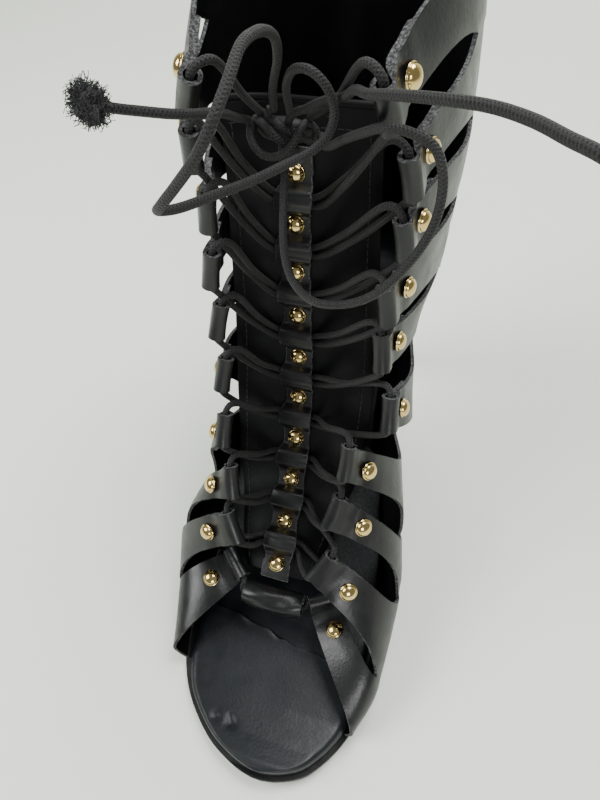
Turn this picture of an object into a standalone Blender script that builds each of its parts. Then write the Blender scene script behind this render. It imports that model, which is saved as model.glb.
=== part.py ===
"""Open-toe caged ankle boot, right foot, with a laced front and a slim covered heel.

Lengths in the tables are millimetres and become metres when a mesh is made.
+X is the medial side, the toe points to -Y and +Z is up; the floor is z = 0.
The tables are laid out in the last's own frame, and one parent empty moves
everything so that the origin lies at the middle of the boot's footprint.
"""
import math

import bmesh
import bpy
import numpy as np
from mathutils import Vector

MM = 0.001
MEDIAL, LATERAL = 1, -1

# ---- driving dimensions -----------------------------------------------------
LAST_TO_ORIGIN = (-1.97, -37.95, 0.0)   # moves the footprint's middle to the origin
GAP = 0.3                  # clearance between two pieces that touch
BASE_CLEARANCE = 0.5       # the same, where both pieces are curved
WALL = 1.2                 # leather and lining of the upper
SOLE_THICKNESS = 3.5       # outsole with its insole board
INSOLE_THICKNESS = 4.5     # padded sock
UPPER_INSET = 0.6          # sole rim that shows outside the upper
INSOLE_INSET = (1.7, 4.7)  # sole rim outside the padded sock, at the toe and under the upper
INSOLE_INSET_Y = (-52.0, -26.0)
HEEL_TIP = 7.0             # rubber top piece
STRAPS = 10                # straps on each side
STRAP_END = 12.0           # width of a strap at its fold
FOLD_RADIUS = 2.9          # outside of the fold that holds the lace
FOLD_TAIL = 15.0           # doubled leather behind the fold
STUD_RADIUS = 3.2
STUD_HEIGHT = 2.0
LACE_RADIUS = 1.1
T_STRAP_WIDTH = 11.0
T_STRAP_THICKNESS = 1.4
T_STRAP_LIFT = 4.0         # how far the T-strap rises over a crossing
TONGUE_THICKNESS = 2.0
TONGUE_CURL = 2.6          # power by which the tongue's edges turn away from flat
LINING_THICKNESS = 1.2
EDGE_CLEARANCE = 0.6       # more room under the tongue's edges

# ---- shape tables -----------------------------------------------------------
SOLE_OUTLINE = {"columns": ("y", "medial", "lateral"), "rows": (
    (-66.0, 26.0, 5.0),
    (-58.0, 33.5, 16.5),
    (-48.0, 39.0, 25.5),
    (-36.0, 43.0, 31.5),
    (-20.0, 45.0, 35.0),
    (-2.0, 42.5, 36.0),
    (18.0, 35.0, 33.5),
    (42.0, 26.5, 29.0),
    (68.0, 22.5, 26.0),
    (95.0, 23.5, 25.0),
    (118.0, 24.5, 24.5),
    (136.0, 18.0, 18.0),
)}
TOE_TIP = (11.5, -70.6)
HEEL_BACK = (0.0, 146.5)

SOLE_PROFILE = {"columns": ("y", "bottom"), "rows": (
    (-70.6, 4.2),
    (-58.0, 1.2),
    (-46.0, 0.0),
    (-4.0, 0.0),
    (8.0, 2.4),
    (24.0, 11.0),
    (45.0, 30.0),
    (70.0, 54.0),
    (95.0, 75.0),
    (118.0, 88.0),
    (146.5, 93.0),
)}

# One row per strap: the middle of its fold, the fold axis by the angle that it
# climbs in the side view and the angle that it spreads outward, how far along
# the quarter the strap's end aims from, and the stud's distance from the fold.
FOLD_COLUMNS = ("strap", "x", "y", "z", "climb", "spread", "aim", "stud")
FOLDS = {
    MEDIAL: {"columns": FOLD_COLUMNS, "rows": (
        (1, 19.4, -9.3, 27.0, 0.0, 57.0, 14.0, 11.5),
        (2, 18.5, -7.0, 50.5, 54.0, 28.0, 14.0, 12.0),
        (3, 19.7, 5.5, 69.5, 52.0, 12.0, 14.0, 11.0),
        (4, 21.5, 15.2, 86.5, 58.0, 0.0, 14.0, 8.3),
        (5, 32.0, 28.0, 100.5, 62.0, -5.0, 14.0, 8.0),
        (6, 26.7, 35.5, 119.5, 68.0, -8.0, 14.0, 9.0),
        (7, 26.7, 38.0, 136.5, 82.0, -9.0, 14.0, 9.0),
        (8, 29.0, 44.0, 155.0, 90.0, -8.0, 24.0, 7.2),
        (9, 29.2, 44.0, 173.5, 100.0, -9.0, 24.0, 7.5),
        (10, 23.8, 36.5, 193.0, 108.0, -8.0, 24.0, 7.5),
    )},
    LATERAL: {"columns": FOLD_COLUMNS, "rows": (
        (1, 17.0, -6.7, 31.3, 22.0, 45.0, 14.0, 11.0),
        (2, 16.3, -3.4, 56.0, 56.0, 26.0, 14.0, 9.3),
        (3, 18.6, 6.8, 70.5, 56.0, 10.0, 14.0, 9.0),
        (4, 22.6, 16.5, 87.5, 58.0, 0.0, 14.0, 8.0),
        (5, 25.6, 29.2, 101.5, 62.0, -5.0, 14.0, 9.0),
        (6, 27.2, 36.0, 119.5, 68.0, -8.0, 14.0, 9.0),
        (7, 27.8, 39.0, 138.0, 82.0, -9.0, 14.0, 9.0),
        (8, 27.8, 43.5, 155.0, 90.0, -8.0, 24.0, 7.2),
        (9, 28.3, 42.5, 174.5, 100.0, -9.0, 24.0, 7.5),
        (10, 23.3, 37.5, 191.5, 111.6, -24.0, 24.0, 6.2),
    )},
}

# The quarters, cut into sections from the throat to the sole or the back seam.
# Station 0 is the toe opening, 10 the collar, and the back seam starts at 6.
# 'sweep' 1 makes a section straight in plan, 0 straight in the side view,
# 'rise' lifts its front part, 'slit' is its slit's length from the fold and
# 'open' widens the slit behind the fold.
QUARTER_COLUMNS = ("station", "throat_x", "throat_y", "throat_z", "base_y", "base_z",
                   "bulge", "sweep", "rise", "slit", "open")
QUARTER = {
    MEDIAL: {"columns": QUARTER_COLUMNS, "rows": (
        (0, 15.5, -14.0, 26.0, -48.0, 0.0, 40.6, 1.0, 0.0, 33.0, 0.0),
        (1, 21.0, -6.0, 41.0, -31.0, 0.0, 46.0, 0.95, 0.0, 40.0, 0.02),
        (2, 21.0, 1.0, 61.0, -2.0, 0.0, 47.0, 0.4, 0.0, 45.0, 0.18),
        (3, 23.0, 11.0, 78.5, 24.0, 0.0, 43.0, 0.1, 0.0, 49.0, 0.2),
        (4, 26.5, 22.0, 95.0, 60.0, 0.0, 36.5, 0.0, 0.0, 50.0, 0.2),
        (5, 27.5, 32.0, 111.0, 98.0, 0.0, 33.0, 0.0, 0.0, 50.0, 0.12),
        (6, 29.0, 37.5, 129.0, 146.0, 98.3, 36.8, 0.0, 0.0, 50.0, 0.1),
        (7, 28.5, 41.0, 147.0, 143.5, 128.0, 38.4, 0.0, 6.0, 48.0, 0.1),
        (8, 28.0, 42.0, 168.0, 139.0, 160.0, 39.4, 0.0, 6.0, 48.0, 0.08),
        (9, 25.5, 39.0, 189.0, 138.5, 190.0, 38.2, 0.0, 5.0, 40.0, 0.16),
        (10, 20.0, 35.5, 201.5, 141.0, 215.0, 36.0, 0.0, 4.5, 24.0, 0.0),
    )},
    LATERAL: {"columns": QUARTER_COLUMNS, "rows": (
        (0, 14.0, -12.5, 28.0, -39.5, 0.0, 33.6, 1.0, 0.0, 28.0, 0.0),
        (1, 19.0, -4.5, 44.0, -17.5, 0.0, 40.0, 0.6, 0.0, 36.0, 0.0),
        (2, 20.0, 2.0, 63.0, 1.0, 0.0, 43.0, 0.4, 0.0, 42.0, 0.08),
        (3, 22.0, 11.0, 78.5, 25.0, 0.0, 36.4, 0.1, 0.0, 46.0, 0.18),
        (4, 24.0, 22.0, 95.0, 60.0, 0.0, 33.4, 0.0, 0.0, 50.0, 0.16),
        (5, 26.5, 32.0, 111.0, 98.0, 0.0, 34.0, 0.0, 0.0, 50.0, 0.1),
        (6, 27.0, 37.5, 129.0, 146.0, 98.3, 35.0, 0.0, 0.0, 50.0, 0.1),
        (7, 27.5, 41.0, 147.0, 143.5, 128.0, 36.0, 0.0, 4.5, 48.0, 0.1),
        (8, 27.0, 42.0, 167.0, 139.0, 160.0, 36.6, 0.0, 4.0, 48.0, 0.08),
        (9, 24.5, 39.0, 188.0, 138.5, 190.0, 36.2, 0.0, 5.0, 40.0, 0.16),
        (10, 18.0, 35.5, 201.0, 141.0, 215.0, 35.0, 0.0, 3.0, 24.0, 0.0),
    )},
}
SEAM_STATION = 6
SHAFT_HUG = 0.8            # how much the shaft's sections keep straight behind the throat
FOLD_CUT = 0.15            # share of the pitch that the slit takes off a strap's edge at its fold

T_STUDS = {"columns": ("stud", "x", "y", "z"), "rows": (
    (1, -1.0, -3.7, 34.5),
    (2, -2.3, 11.6, 40.6),
    (3, -3.6, 25.7, 49.3),
    (4, -5.0, 37.9, 60.3),
    (5, -6.3, 47.7, 73.6),
    (6, -7.7, 54.8, 88.5),
    (7, -9.0, 60.4, 104.0),
    (8, -10.2, 65.2, 119.8),
    (9, -11.0, 70.0, 135.8),
    (10, -11.3, 74.3, 151.8),
)}

# The tongue below the T-strap: half widths to each side of the strap's middle,
# and how far its edges fall away from the strap. 'along' counts studs.
TONGUE = {"columns": ("along", "medial", "lateral", "medial_drop", "lateral_drop"), "rows": (
    (0.75, 13.0, 13.0, 3.0, 3.0),
    (1.5, 16.5, 17.0, 4.0, 3.5),
    (2.5, 21.0, 20.6, 5.0, 3.0),
    (3.5, 25.5, 24.0, 6.0, 0.0),
    (4.5, 27.0, 24.2, 6.0, -4.5),
    (6.0, 28.0, 22.4, 6.0, -9.0),
    (8.0, 28.0, 21.0, 4.0, -9.5),
    (10.0, 27.0, 22.0, 2.0, -7.5),
    (11.2, 26.0, 23.5, 1.0, -6.0),
)}

# Arched lining under the lower tongue, down to the padded sock on each side.
VAMP_LINING = {"columns": ("along", "base_y", "base_medial", "base_lateral", "medial_belly",
                           "lateral_belly"), "rows": (
    (1.15, 4.0, 34.0, 30.0, 36.5, 32.0),
    (2.0, 13.0, 31.0, 28.5, 35.5, 31.0),
    (3.0, 26.0, 26.0, 25.5, 32.0, 29.0),
    (4.0, 42.0, 20.5, 21.5, 29.0, 27.0),
)}

HEEL = {"columns": ("drop", "middle_y", "half_length", "half_width"), "rows": (
    (0.0, 126.5, 18.0, 22.0),
    (0.12, 127.5, 16.0, 19.0),
    (0.32, 130.0, 12.5, 13.5),
    (0.62, 132.0, 9.8, 10.0),
    (1.0, 133.0, 8.2, 8.4),
)}

ROLL = {"middle": (0.6, -15.2, 26.5), "half_length": 11.8, "radius": 4.9, "bore": 3.1}

# ---- cords: the bow, by hand, in the last's frame -----------------------------
KNOT_MIDDLE = (-9.2, 62.0, 172.0)
KNOT_SIZE = (10.5, 4.6, 5.2)
CORD_ROUTES = {
    "lace_loop_lateral": (
        (-11.5, 60.5, 178.2), (-8.5, 53.5, 187.0), (-3.5, 45.0, 197.5), (0.0, 34.5, 206.0),
        (1.0, 24.5, 210.5), (1.0, 15.5, 211.5), (1.5, 7.0, 209.0), (0.5, 1.0, 205.0),
        (-3.0, -1.0, 199.0), (-8.0, -1.5, 193.0), (-13.0, -1.0, 187.5), (-15.0, 1.0, 185.0),
        (-13.0, 4.5, 183.5), (-7.5, 14.0, 182.0), (-2.5, 22.5, 181.0), (2.0, 29.5, 181.0),
        (6.0, 36.0, 181.0), (9.4, 41.0, 183.4), (10.2, 43.1, 188.2), (8.4, 42.3, 193.8),
        (5.0, 42.5, 196.5), (0.0, 46.0, 195.0), (-4.0, 51.0, 189.0), (-6.5, 59.3, 178.4),
    ),
    "lace_loop_medial": (
        (1.8, 60.0, 172.5), (5.0, 53.0, 173.5), (12.4, 43.2, 181.2), (19.0, 35.2, 187.6),
        (24.6, 31.4, 191.2), (31.0, 29.4, 191.4), (35.5, 28.5, 189.5), (38.0, 26.5, 185.0),
        (38.5, 24.0, 179.0), (37.0, 22.0, 172.5), (33.0, 20.0, 165.0), (27.0, 19.0, 157.0),
        (19.5, 19.5, 151.5), (11.0, 21.0, 149.0), (4.0, 26.0, 149.0), (-1.0, 33.0, 151.0),
        (-4.5, 42.0, 154.5), (-6.5, 50.0, 160.0), (-8.0, 57.0, 166.0),
    ),
    "lace_end_lateral": (
        (-19.2, 60.4, 174.6), (-17.6, 49.0, 181.0), (-16.2, 40.0, 186.2), (-15.9, 33.0, 189.8),
        (-16.3, 26.2, 192.6), (-19.0, 20.6, 195.0), (-23.2, 17.2, 196.7), (-28.0, 14.4, 198.2),
        (-32.0, 12.2, 199.8),
    ),
    "lace_end_medial": (
        (-2.0, 57.0, 180.5), (5.8, 51.0, 186.4), (12.2, 44.3, 190.8), (16.9, 36.0, 196.2),
        (21.0, 29.5, 198.5), (26.0, 25.0, 200.8), (31.0, 21.5, 202.5), (38.0, 16.5, 204.7),
        (45.5, 11.5, 206.5), (52.0, 5.0, 208.0), (57.0, -1.5, 209.0), (62.0, -8.0, 210.0),
        (69.0, -13.5, 208.0), (77.0, -18.0, 203.0),
    ),
}
CORD_STEP = 8.0

# ---- materials: base colour, roughness, metallic ---------------------------------
MATERIALS = {
    "black_leather": ((0.012, 0.012, 0.013), 0.38, 0.0),
    "matte_leather": ((0.014, 0.014, 0.015), 0.62, 0.0),
    "sock_leather": ((0.028, 0.030, 0.034), 0.5, 0.0),
    "lining_cloth": ((0.06, 0.064, 0.068), 0.85, 0.0),
    "black_rubber": ((0.010, 0.010, 0.010), 0.6, 0.0),
    "gold_metal": ((0.86, 0.66, 0.34), 0.18, 1.0),
    "elastic_cord": ((0.010, 0.010, 0.011), 0.85, 0.0),
}


# ---- small mathematics ------------------------------------------------------------
def column(table, name):
    """One named column of a table, as an array."""
    index = table["columns"].index(name)
    return np.array([row[index] for row in table["rows"]], float)


def curve_through(knots, values):
    """Smooth curve through the values that never overshoots them (monotone cubic)."""
    knots = np.asarray(knots, float)
    values = np.asarray(values, float)
    step = np.diff(knots)
    slope = np.diff(values) / step
    tangent = np.zeros_like(values)
    tangent[0] = slope[0]
    tangent[-1] = slope[-1]
    for i in range(1, len(values) - 1):
        if slope[i - 1] * slope[i] > 0:
            before = 2 * step[i] + step[i - 1]
            after = step[i] + 2 * step[i - 1]
            tangent[i] = (before + after) / (before / slope[i - 1] + after / slope[i])

    def evaluate(x):
        x = np.clip(x, knots[0], knots[-1])
        i = np.clip(np.searchsorted(knots, x, side="right") - 1, 0, len(step) - 1)
        t = (x - knots[i]) / step[i]
        rise = values[i] * (1 + 2 * t) * (1 - t) ** 2 + values[i + 1] * t * t * (3 - 2 * t)
        bend = step[i] * t * (1 - t) * (tangent[i] * (1 - t) - tangent[i + 1] * t)
        return rise + bend

    return evaluate


def table_curve(table, key, name):
    return curve_through(column(table, key), column(table, name))


def unit(vector):
    vector = np.asarray(vector, float)
    return vector / np.linalg.norm(vector)


def smooth_route(points, closed=False, pieces=8):
    """Points of a centripetal Catmull-Rom curve through a short list of points."""
    points = [np.asarray(p, float) for p in points]
    if closed:
        points = [points[-1]] + points + points[:2]
    else:
        points = [2 * points[0] - points[1]] + points + [2 * points[-1] - points[-2]]
    route = []
    for a, b, c, d in zip(points, points[1:], points[2:], points[3:]):
        knots = [0.0]
        for p, q in ((a, b), (b, c), (c, d)):
            knots.append(knots[-1] + max(np.linalg.norm(q - p), 1e-6) ** 0.5)
        k0, k1, k2, k3 = knots
        for i in range(pieces):
            t = k1 + (k2 - k1) * i / pieces
            ab = a * (k1 - t) / (k1 - k0) + b * (t - k0) / (k1 - k0)
            bc = b * (k2 - t) / (k2 - k1) + c * (t - k1) / (k2 - k1)
            cd = c * (k3 - t) / (k3 - k2) + d * (t - k2) / (k3 - k2)
            abc = ab * (k2 - t) / (k2 - k0) + bc * (t - k0) / (k2 - k0)
            bcd = bc * (k3 - t) / (k3 - k1) + cd * (t - k1) / (k3 - k1)
            route.append(abc * (k2 - t) / (k2 - k1) + bcd * (t - k1) / (k2 - k1))
    if not closed:
        route.append(points[-2])
    return np.array(route)


def even_steps(route, step):
    """The route's points again, evenly spaced about a step apart."""
    run = np.r_[0, np.cumsum(np.linalg.norm(np.diff(route, axis=0), axis=1))]
    count = max(2, int(round(run[-1] / step)) + 1)
    stations = np.linspace(0, run[-1], count)
    return np.stack([np.interp(stations, run, route[:, k]) for k in range(3)], axis=1)


# ---- objects --------------------------------------------------------------------------
def clear_scene():
    for thing in list(bpy.data.objects):
        bpy.data.objects.remove(thing, do_unlink=True)


def make_materials():
    made = {}
    for name, (colour, roughness, metallic) in MATERIALS.items():
        material = bpy.data.materials.new(name)
        material.use_nodes = True
        shader = material.node_tree.nodes["Principled BSDF"]
        shader.inputs["Base Color"].default_value = (*colour, 1.0)
        shader.inputs["Roughness"].default_value = roughness
        shader.inputs["Metallic"].default_value = metallic
        made[name] = material
    return made


def add_object(name, data, material, parent, smooth_angle=40.0):
    thing = bpy.data.objects.new(name, data)
    bpy.context.scene.collection.objects.link(thing)
    thing.parent = parent
    if material.name not in data.materials:
        data.materials.append(material)
    if isinstance(data, bpy.types.Mesh):
        data.shade_smooth()
        data.set_sharp_from_angle(angle=math.radians(smooth_angle))
    return thing


def mesh_from(name, points, faces):
    """Closed mesh from points in millimetres, its faces turned outward."""
    mesh = bpy.data.meshes.new(name)
    mesh.from_pydata([tuple(np.asarray(p) * MM) for p in points], [], faces)
    bm = bmesh.new()
    bm.from_mesh(mesh)
    bmesh.ops.recalc_face_normals(bm, faces=bm.faces)
    if bm.calc_volume(signed=True) < 0:
        bmesh.ops.reverse_faces(bm, faces=bm.faces)
    bm.to_mesh(mesh)
    bm.free()
    return mesh


def loft(rings, close_ends=True):
    """Points and faces of a body through rings with equal counts of points."""
    count = len(rings[0])
    points = [p for ring in rings for p in ring]
    faces = []
    for r in range(len(rings) - 1):
        for i in range(count):
            j = (i + 1) % count
            faces.append((r * count + i, r * count + j, (r + 1) * count + j, (r + 1) * count + i))
    if close_ends:
        faces.append(tuple(range(count)))
        faces.append(tuple(range((len(rings) - 1) * count, len(rings) * count)))
    return points, faces


def tube(route, radius, sides):
    """Points and faces of a round cord along a route, with flat ends."""
    route = np.asarray(route)
    tangents = np.gradient(route, axis=0)
    tangents /= np.linalg.norm(tangents, axis=1, keepdims=True)
    normal = unit(np.cross(tangents[0], (0.31, 0.17, 0.93)))
    rings = []
    for point, tangent in zip(route, tangents):
        normal = unit(normal - tangent * normal.dot(tangent))
        binormal = np.cross(tangent, normal)
        rings.append([point + radius * (math.cos(a) * normal + math.sin(a) * binormal)
                      for a in 2 * math.pi * np.arange(sides) / sides])
    return loft(rings)


# ---- sole, insole and heel ----------------------------------------------------------------
def sole_outline():
    """Closed smooth outline of the sole in plan, anticlockwise from the toe tip."""
    ys = column(SOLE_OUTLINE, "y")
    right = list(zip(column(SOLE_OUTLINE, "medial"), ys))
    left = list(zip(-column(SOLE_OUTLINE, "lateral"), ys))
    points = [TOE_TIP] + right + [HEEL_BACK] + left[::-1]
    return smooth_route([(x, y, 0.0) for x, y in points], closed=True, pieces=10)[:, :2]


OUTLINE = sole_outline()
OUTLINE_CACHE = {}


def inset_outline(inset):
    """Both halves of the outline moved inward, as rising y against x."""
    if inset not in OUTLINE_CACHE:
        along = np.roll(OUTLINE, -1, axis=0) - np.roll(OUTLINE, 1, axis=0)
        along /= np.linalg.norm(along, axis=1, keepdims=True)
        moved = OUTLINE + inset * np.stack([-along[:, 1], along[:, 0]], axis=1)
        moved = np.roll(moved, -int(np.argmin(moved[:, 1])), axis=0)
        back = int(np.argmax(moved[:, 1]))
        medial = moved[:back + 1]
        lateral = np.vstack([moved[back:], moved[:1]])[::-1]
        OUTLINE_CACHE[inset] = {MEDIAL: medial, LATERAL: lateral}
    return OUTLINE_CACHE[inset]


def outline_x(side, y, inset=0.0):
    """x of the sole's edge at y, moved inward."""
    half = inset_outline(inset)[side]
    return float(np.interp(y, half[:, 1], half[:, 0]))


def insole_x(side, y):
    """x of the padded sock's edge, which steps inward where the upper stands."""
    toe, rear = (outline_x(side, y, inset) for inset in INSOLE_INSET)
    t = np.clip((y - INSOLE_INSET_Y[0]) / (INSOLE_INSET_Y[1] - INSOLE_INSET_Y[0]), 0, 1)
    return toe + (rear - toe) * float(t * t * (3 - 2 * t))


def sole_stations(front_inset, back_inset, count=30):
    """y of the cross sections, closer together at the two rounded ends."""
    tip = inset_outline(front_inset)[MEDIAL][0, 1] + 0.12
    back = inset_outline(back_inset)[MEDIAL][-1, 1] - 0.12
    t = np.linspace(0, math.pi, count)
    fine = (1 - np.cos(t)) / 2
    even = t / math.pi
    return tip + (back - tip) * (0.62 * fine + 0.38 * even)


SOLE_CURVE = table_curve(SOLE_PROFILE, "y", "bottom")
SOLE_Y = sole_stations(0.0, 0.0)
SOLE_Z = np.array([float(SOLE_CURVE(y)) for y in SOLE_Y])


def sole_bottom(y):
    return float(np.interp(y, SOLE_Y, SOLE_Z))


def sole_lean(y):
    """Length along the sole for one millimetre in plan."""
    return math.hypot(1.0, (float(SOLE_CURVE(y + 2)) - float(SOLE_CURVE(y - 2))) / 4)


SOLE_TOP_Z = SOLE_Z + np.array([SOLE_THICKNESS * sole_lean(y) for y in SOLE_Y])


def sole_top(y):
    return float(np.interp(y, SOLE_Y, SOLE_TOP_Z))


def insole_top(y):
    return sole_top(y) + BASE_CLEARANCE + INSOLE_THICKNESS * sole_lean(y)


def outsole_mesh():
    rings = []
    for y in SOLE_Y:
        left, right = outline_x(LATERAL, y), outline_x(MEDIAL, y)
        bottom, top = sole_bottom(y), sole_top(y)
        rings.append([(left, y, bottom), (right, y, bottom), (right, y, top), (left, y, top)])
    return mesh_from("outsole", *loft(rings))


def insole_mesh():
    """Padded sock: flat below, with a rounded edge and a low crown above."""
    rings = []
    edge = 1.7
    for y in sole_stations(*INSOLE_INSET):
        left, right = insole_x(LATERAL, y), insole_x(MEDIAL, y)
        bottom = sole_top(y) + BASE_CLEARANCE
        thick = INSOLE_THICKNESS * sole_lean(y)
        half = (right - left) / 2
        round_in = min(edge, half * 0.45)
        side = bottom + 0.6 * thick
        top = bottom + thick * min(1.0, 0.7 + half / 40)
        middle = (left + right) / 2
        rings.append([(left, y, bottom), (right, y, bottom), (right, y, side),
                      (right - round_in, y, top), (middle, y, top + 0.35),
                      (left + round_in, y, top), (left, y, side)])
    return mesh_from("insole", *loft(rings))


def heel_ring(middle_y, half_length, half_width, count=16):
    """Round back with a straighter breast at the front."""
    ring = []
    for i in range(count):
        a = 2 * math.pi * (i + 0.5) / count
        y = math.cos(a)
        if y < 0:
            y = -abs(y) ** 1.6
        x = math.sin(a)
        ring.append((half_width * math.copysign(abs(x) ** 0.8, x), middle_y + half_length * y))
    return ring


def heel_mesh():
    rings = []
    drops = np.array([0.0, 0.06, 0.14, 0.26, 0.42, 0.6, 0.8, 1.0])
    shape = [table_curve(HEEL, "drop", name) for name in ("middle_y", "half_length", "half_width")]
    for drop in drops:
        ring = heel_ring(*(float(part(drop)) for part in shape))
        seat = heel_ring(*(float(part(0.0)) for part in shape))
        floor = HEEL_TIP + GAP
        heights = [sole_bottom(y) - GAP for x, y in seat]
        rings.append([(x, y, top + (floor - top) * drop)
                      for (x, y), top in zip(ring, heights)])
    points, faces = loft(rings)
    # The seat follows the sole's curve, so its cap fans out from a middle point.
    count = len(rings[0])
    middle = float(shape[0](0.0))
    points.append((0.0, middle, sole_bottom(middle) - GAP))
    faces.remove(tuple(range(count)))
    faces += [(i, (i + 1) % count, len(points) - 1) for i in range(count)]
    return mesh_from("heel", points, faces)


def heel_tip_mesh():
    ring = heel_ring(*HEEL["rows"][-1][1:])
    rings = [[(x, y, z) for x, y in ring] for z in (0.0, HEEL_TIP)]
    return mesh_from("heel_tip", *loft(rings))


# ---- quarters -----------------------------------------------------------------------------------
QUARTER_CURVES = {side: {name: table_curve(QUARTER[side], "station", name)
                         for name in QUARTER_COLUMNS[1:]} for side in (MEDIAL, LATERAL)}
SECTION_STEPS = 60


def section(side, station):
    """One section line of a quarter, from throat to base, with its running length."""
    value = {name: float(curve(station)) for name, curve in QUARTER_CURVES[side].items()}
    half = value["bulge"]
    base_y = value["base_y"]
    if station < SEAM_STATION:
        base_x = abs(outline_x(side, base_y, UPPER_INSET))
        base_z = sole_top(base_y) + BASE_CLEARANCE + 0.4
    else:
        base_x = 0.0
        base_z = value["base_z"]
    base_x = min(base_x, half * 0.999)
    start = math.asin(value["throat_x"] / half)
    end = math.pi - math.asin(base_x / half)
    turn = np.linspace(start, end, SECTION_STEPS + 1)
    share = (math.cos(start) - np.cos(turn)) / (math.cos(start) - math.cos(end))
    reach = (half * np.sin(turn) - value["throat_x"]) / (half - value["throat_x"])
    plan = np.where(turn < math.pi / 2, np.clip(reach, 0, 1) ** 0.9, 1.0)
    hug = 1 + SHAFT_HUG * float(np.clip((station - 2.5) / 2, 0, 1))
    drawn_in = value["throat_x"] + (half - value["throat_x"]) * np.clip(reach, 0, 1) ** hug
    width = np.where(turn < math.pi / 2, drawn_in, half * np.sin(turn))
    share_y = share + (plan - share) * value["sweep"]
    lift = value["rise"] * share * (1 - share) ** 3 / 0.1055
    line = np.stack([side * width,
                     value["throat_y"] + (base_y - value["throat_y"]) * share_y,
                     value["throat_z"] + (base_z - value["throat_z"]) * share + lift], axis=1)
    run = np.r_[0, np.cumsum(np.linalg.norm(np.diff(line, axis=0), axis=1))]
    return line, run


SECTION_CACHE = {}


def quarter_point(side, station, run):
    """Point of the quarter's outer face, 'run' millimetres along a section line."""
    key = (side, round(station, 5))
    if key not in SECTION_CACHE:
        SECTION_CACHE[key] = section(side, station)
    line, runs = SECTION_CACHE[key]
    return np.array([np.interp(run, runs, line[:, k]) for k in range(3)])


def section_length(side, station):
    quarter_point(side, station, 0.0)
    return SECTION_CACHE[(side, round(station, 5))][1][-1]


def slit_length(side, station):
    return float(QUARTER_CURVES[side]["slit"](station))


def strap_station(side, strap, across, run):
    """Station of a point of a strap, drawn in from the slit on either side."""
    edge = strap - 1 + (1 if across > 0.5 else 0)
    if edge in (0, STRAPS):
        return strap - 1 + across
    t = run / slit_length(side, edge)
    if t >= 1:
        return strap - 1 + across
    middle_open = float(QUARTER_CURVES[side]["open"](edge))
    cut = (FOLD_CUT + middle_open * t) * (1 - t ** 4)
    return strap - 0.5 + (across - 0.5) * (1 - 2 * cut)


def fold_frame(side, strap):
    """Middle of a strap's fold, its axis, and the strap's tip and outward directions."""
    row = dict(zip(FOLD_COLUMNS, FOLDS[side]["rows"][strap - 1]))
    middle = np.array([side * row["x"], row["y"], row["z"]])
    climb, spread = math.radians(row["climb"]), math.radians(row["spread"])
    axis = np.array([side * math.sin(spread), math.cos(spread) * math.cos(climb),
                     math.cos(spread) * math.sin(climb)])
    root = quarter_point(side, strap - 0.5, row["aim"])
    tip = middle - root
    tip = unit(tip - axis * tip.dot(axis))
    outward = np.cross(axis, tip)
    if outward[0] * side < 0:
        outward = -outward
    return middle, axis, tip, outward


FOLD_FRAMES = {(side, strap): fold_frame(side, strap)
               for side in (MEDIAL, LATERAL) for strap in range(1, STRAPS + 1)}


def strap_point(side, strap, across, run):
    """Outer face of a strap; 'across' runs 0 to 1 from its lower to its upper edge."""
    base = quarter_point(side, strap_station(side, strap, across, run), run)
    slit = slit_length(side, strap - 1 + across)
    if run >= slit:
        return base
    middle, axis, tip, outward = FOLD_FRAMES[side, strap]
    end = middle + axis * (across - 0.5) * STRAP_END + outward * FOLD_RADIUS
    away = end - quarter_point(side, strap_station(side, strap, across, 0.0), 0.0)
    return base + away * (1 - run / slit) ** 1.5


def strap_normal(side, strap, across, run):
    """Outward normal of the strap or of the quarter behind it."""
    station = strap - 1 + across
    total = section_length(side, station)
    low, high = max(run - 1.0, 0.0), min(run + 1.0, total)
    along = strap_point(side, strap, across, high) - strap_point(side, strap, across, low)
    left, right = max(across - 0.06, 0.0), min(across + 0.06, 1.0)
    share = run / total
    run_left = share * section_length(side, strap - 1 + left)
    run_right = share * section_length(side, strap - 1 + right)
    if run < slit_length(side, station):
        run_left = run_right = run
    width = (strap_point(side, strap, right, run_right)
             - strap_point(side, strap, left, run_left))
    return side * unit(np.cross(along, width))


def strap_runs(side, station):
    """Distances of the mesh rows from the throat: fold, doubled tail, slit, base."""
    total = section_length(side, station)
    slit = slit_length(side, station)
    head = [0.0, FOLD_RADIUS + 0.8, 9.0, FOLD_TAIL, FOLD_TAIL + 1.2]
    middle = [FOLD_TAIL + 1.2 + (slit - FOLD_TAIL - 1.2) * t for t in (0.5, 0.85, 1.0)]
    tail = [slit + (total - slit) * t for t in (0.22, 0.45, 0.66, 0.84, 1.0)]
    return head + middle + tail


SLIT_ROW = 7
DOUBLED_ROWS = (1, 2, 3)
ACROSS = {strap: (0.0, 0.5, 1.0) for strap in range(1, STRAPS + 1)}
ACROSS[5] = (0.0, 0.35, 0.7, 1.0)
ACROSS[6] = (0.0, 0.3, 0.55, 0.75, 0.88, 1.0)
FOLD_ANGLES = np.radians((90, 34, -22, -78, -134, -190))


class UpperMesh:
    """Collects the upper's points by name, so that neighbours share them."""

    def __init__(self):
        self.points = []
        self.index = {}
        self.faces = []

    def point(self, key, position):
        if key not in self.index:
            self.index[key] = len(self.points)
            self.points.append(np.array(position, float))
        return self.index[key]

    def face(self, *corners):
        ring = [c for i, c in enumerate(corners) if c != corners[i - 1]]
        if len(ring) >= 3:
            self.faces.append(tuple(ring))


def sheet_key(side, strap, cell, row, last_row):
    """Shared names: along the slits' closed part and along the back seam."""
    cells = len(ACROSS[strap]) - 1
    station = strap - 1 + ACROSS[strap][cell]
    if row == last_row and station >= SEAM_STATION:
        return ("seam", station)
    if row >= SLIT_ROW and cell == cells and strap < STRAPS:
        return (side, strap + 1, 0, row)
    return (side, strap, cell, row)


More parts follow.
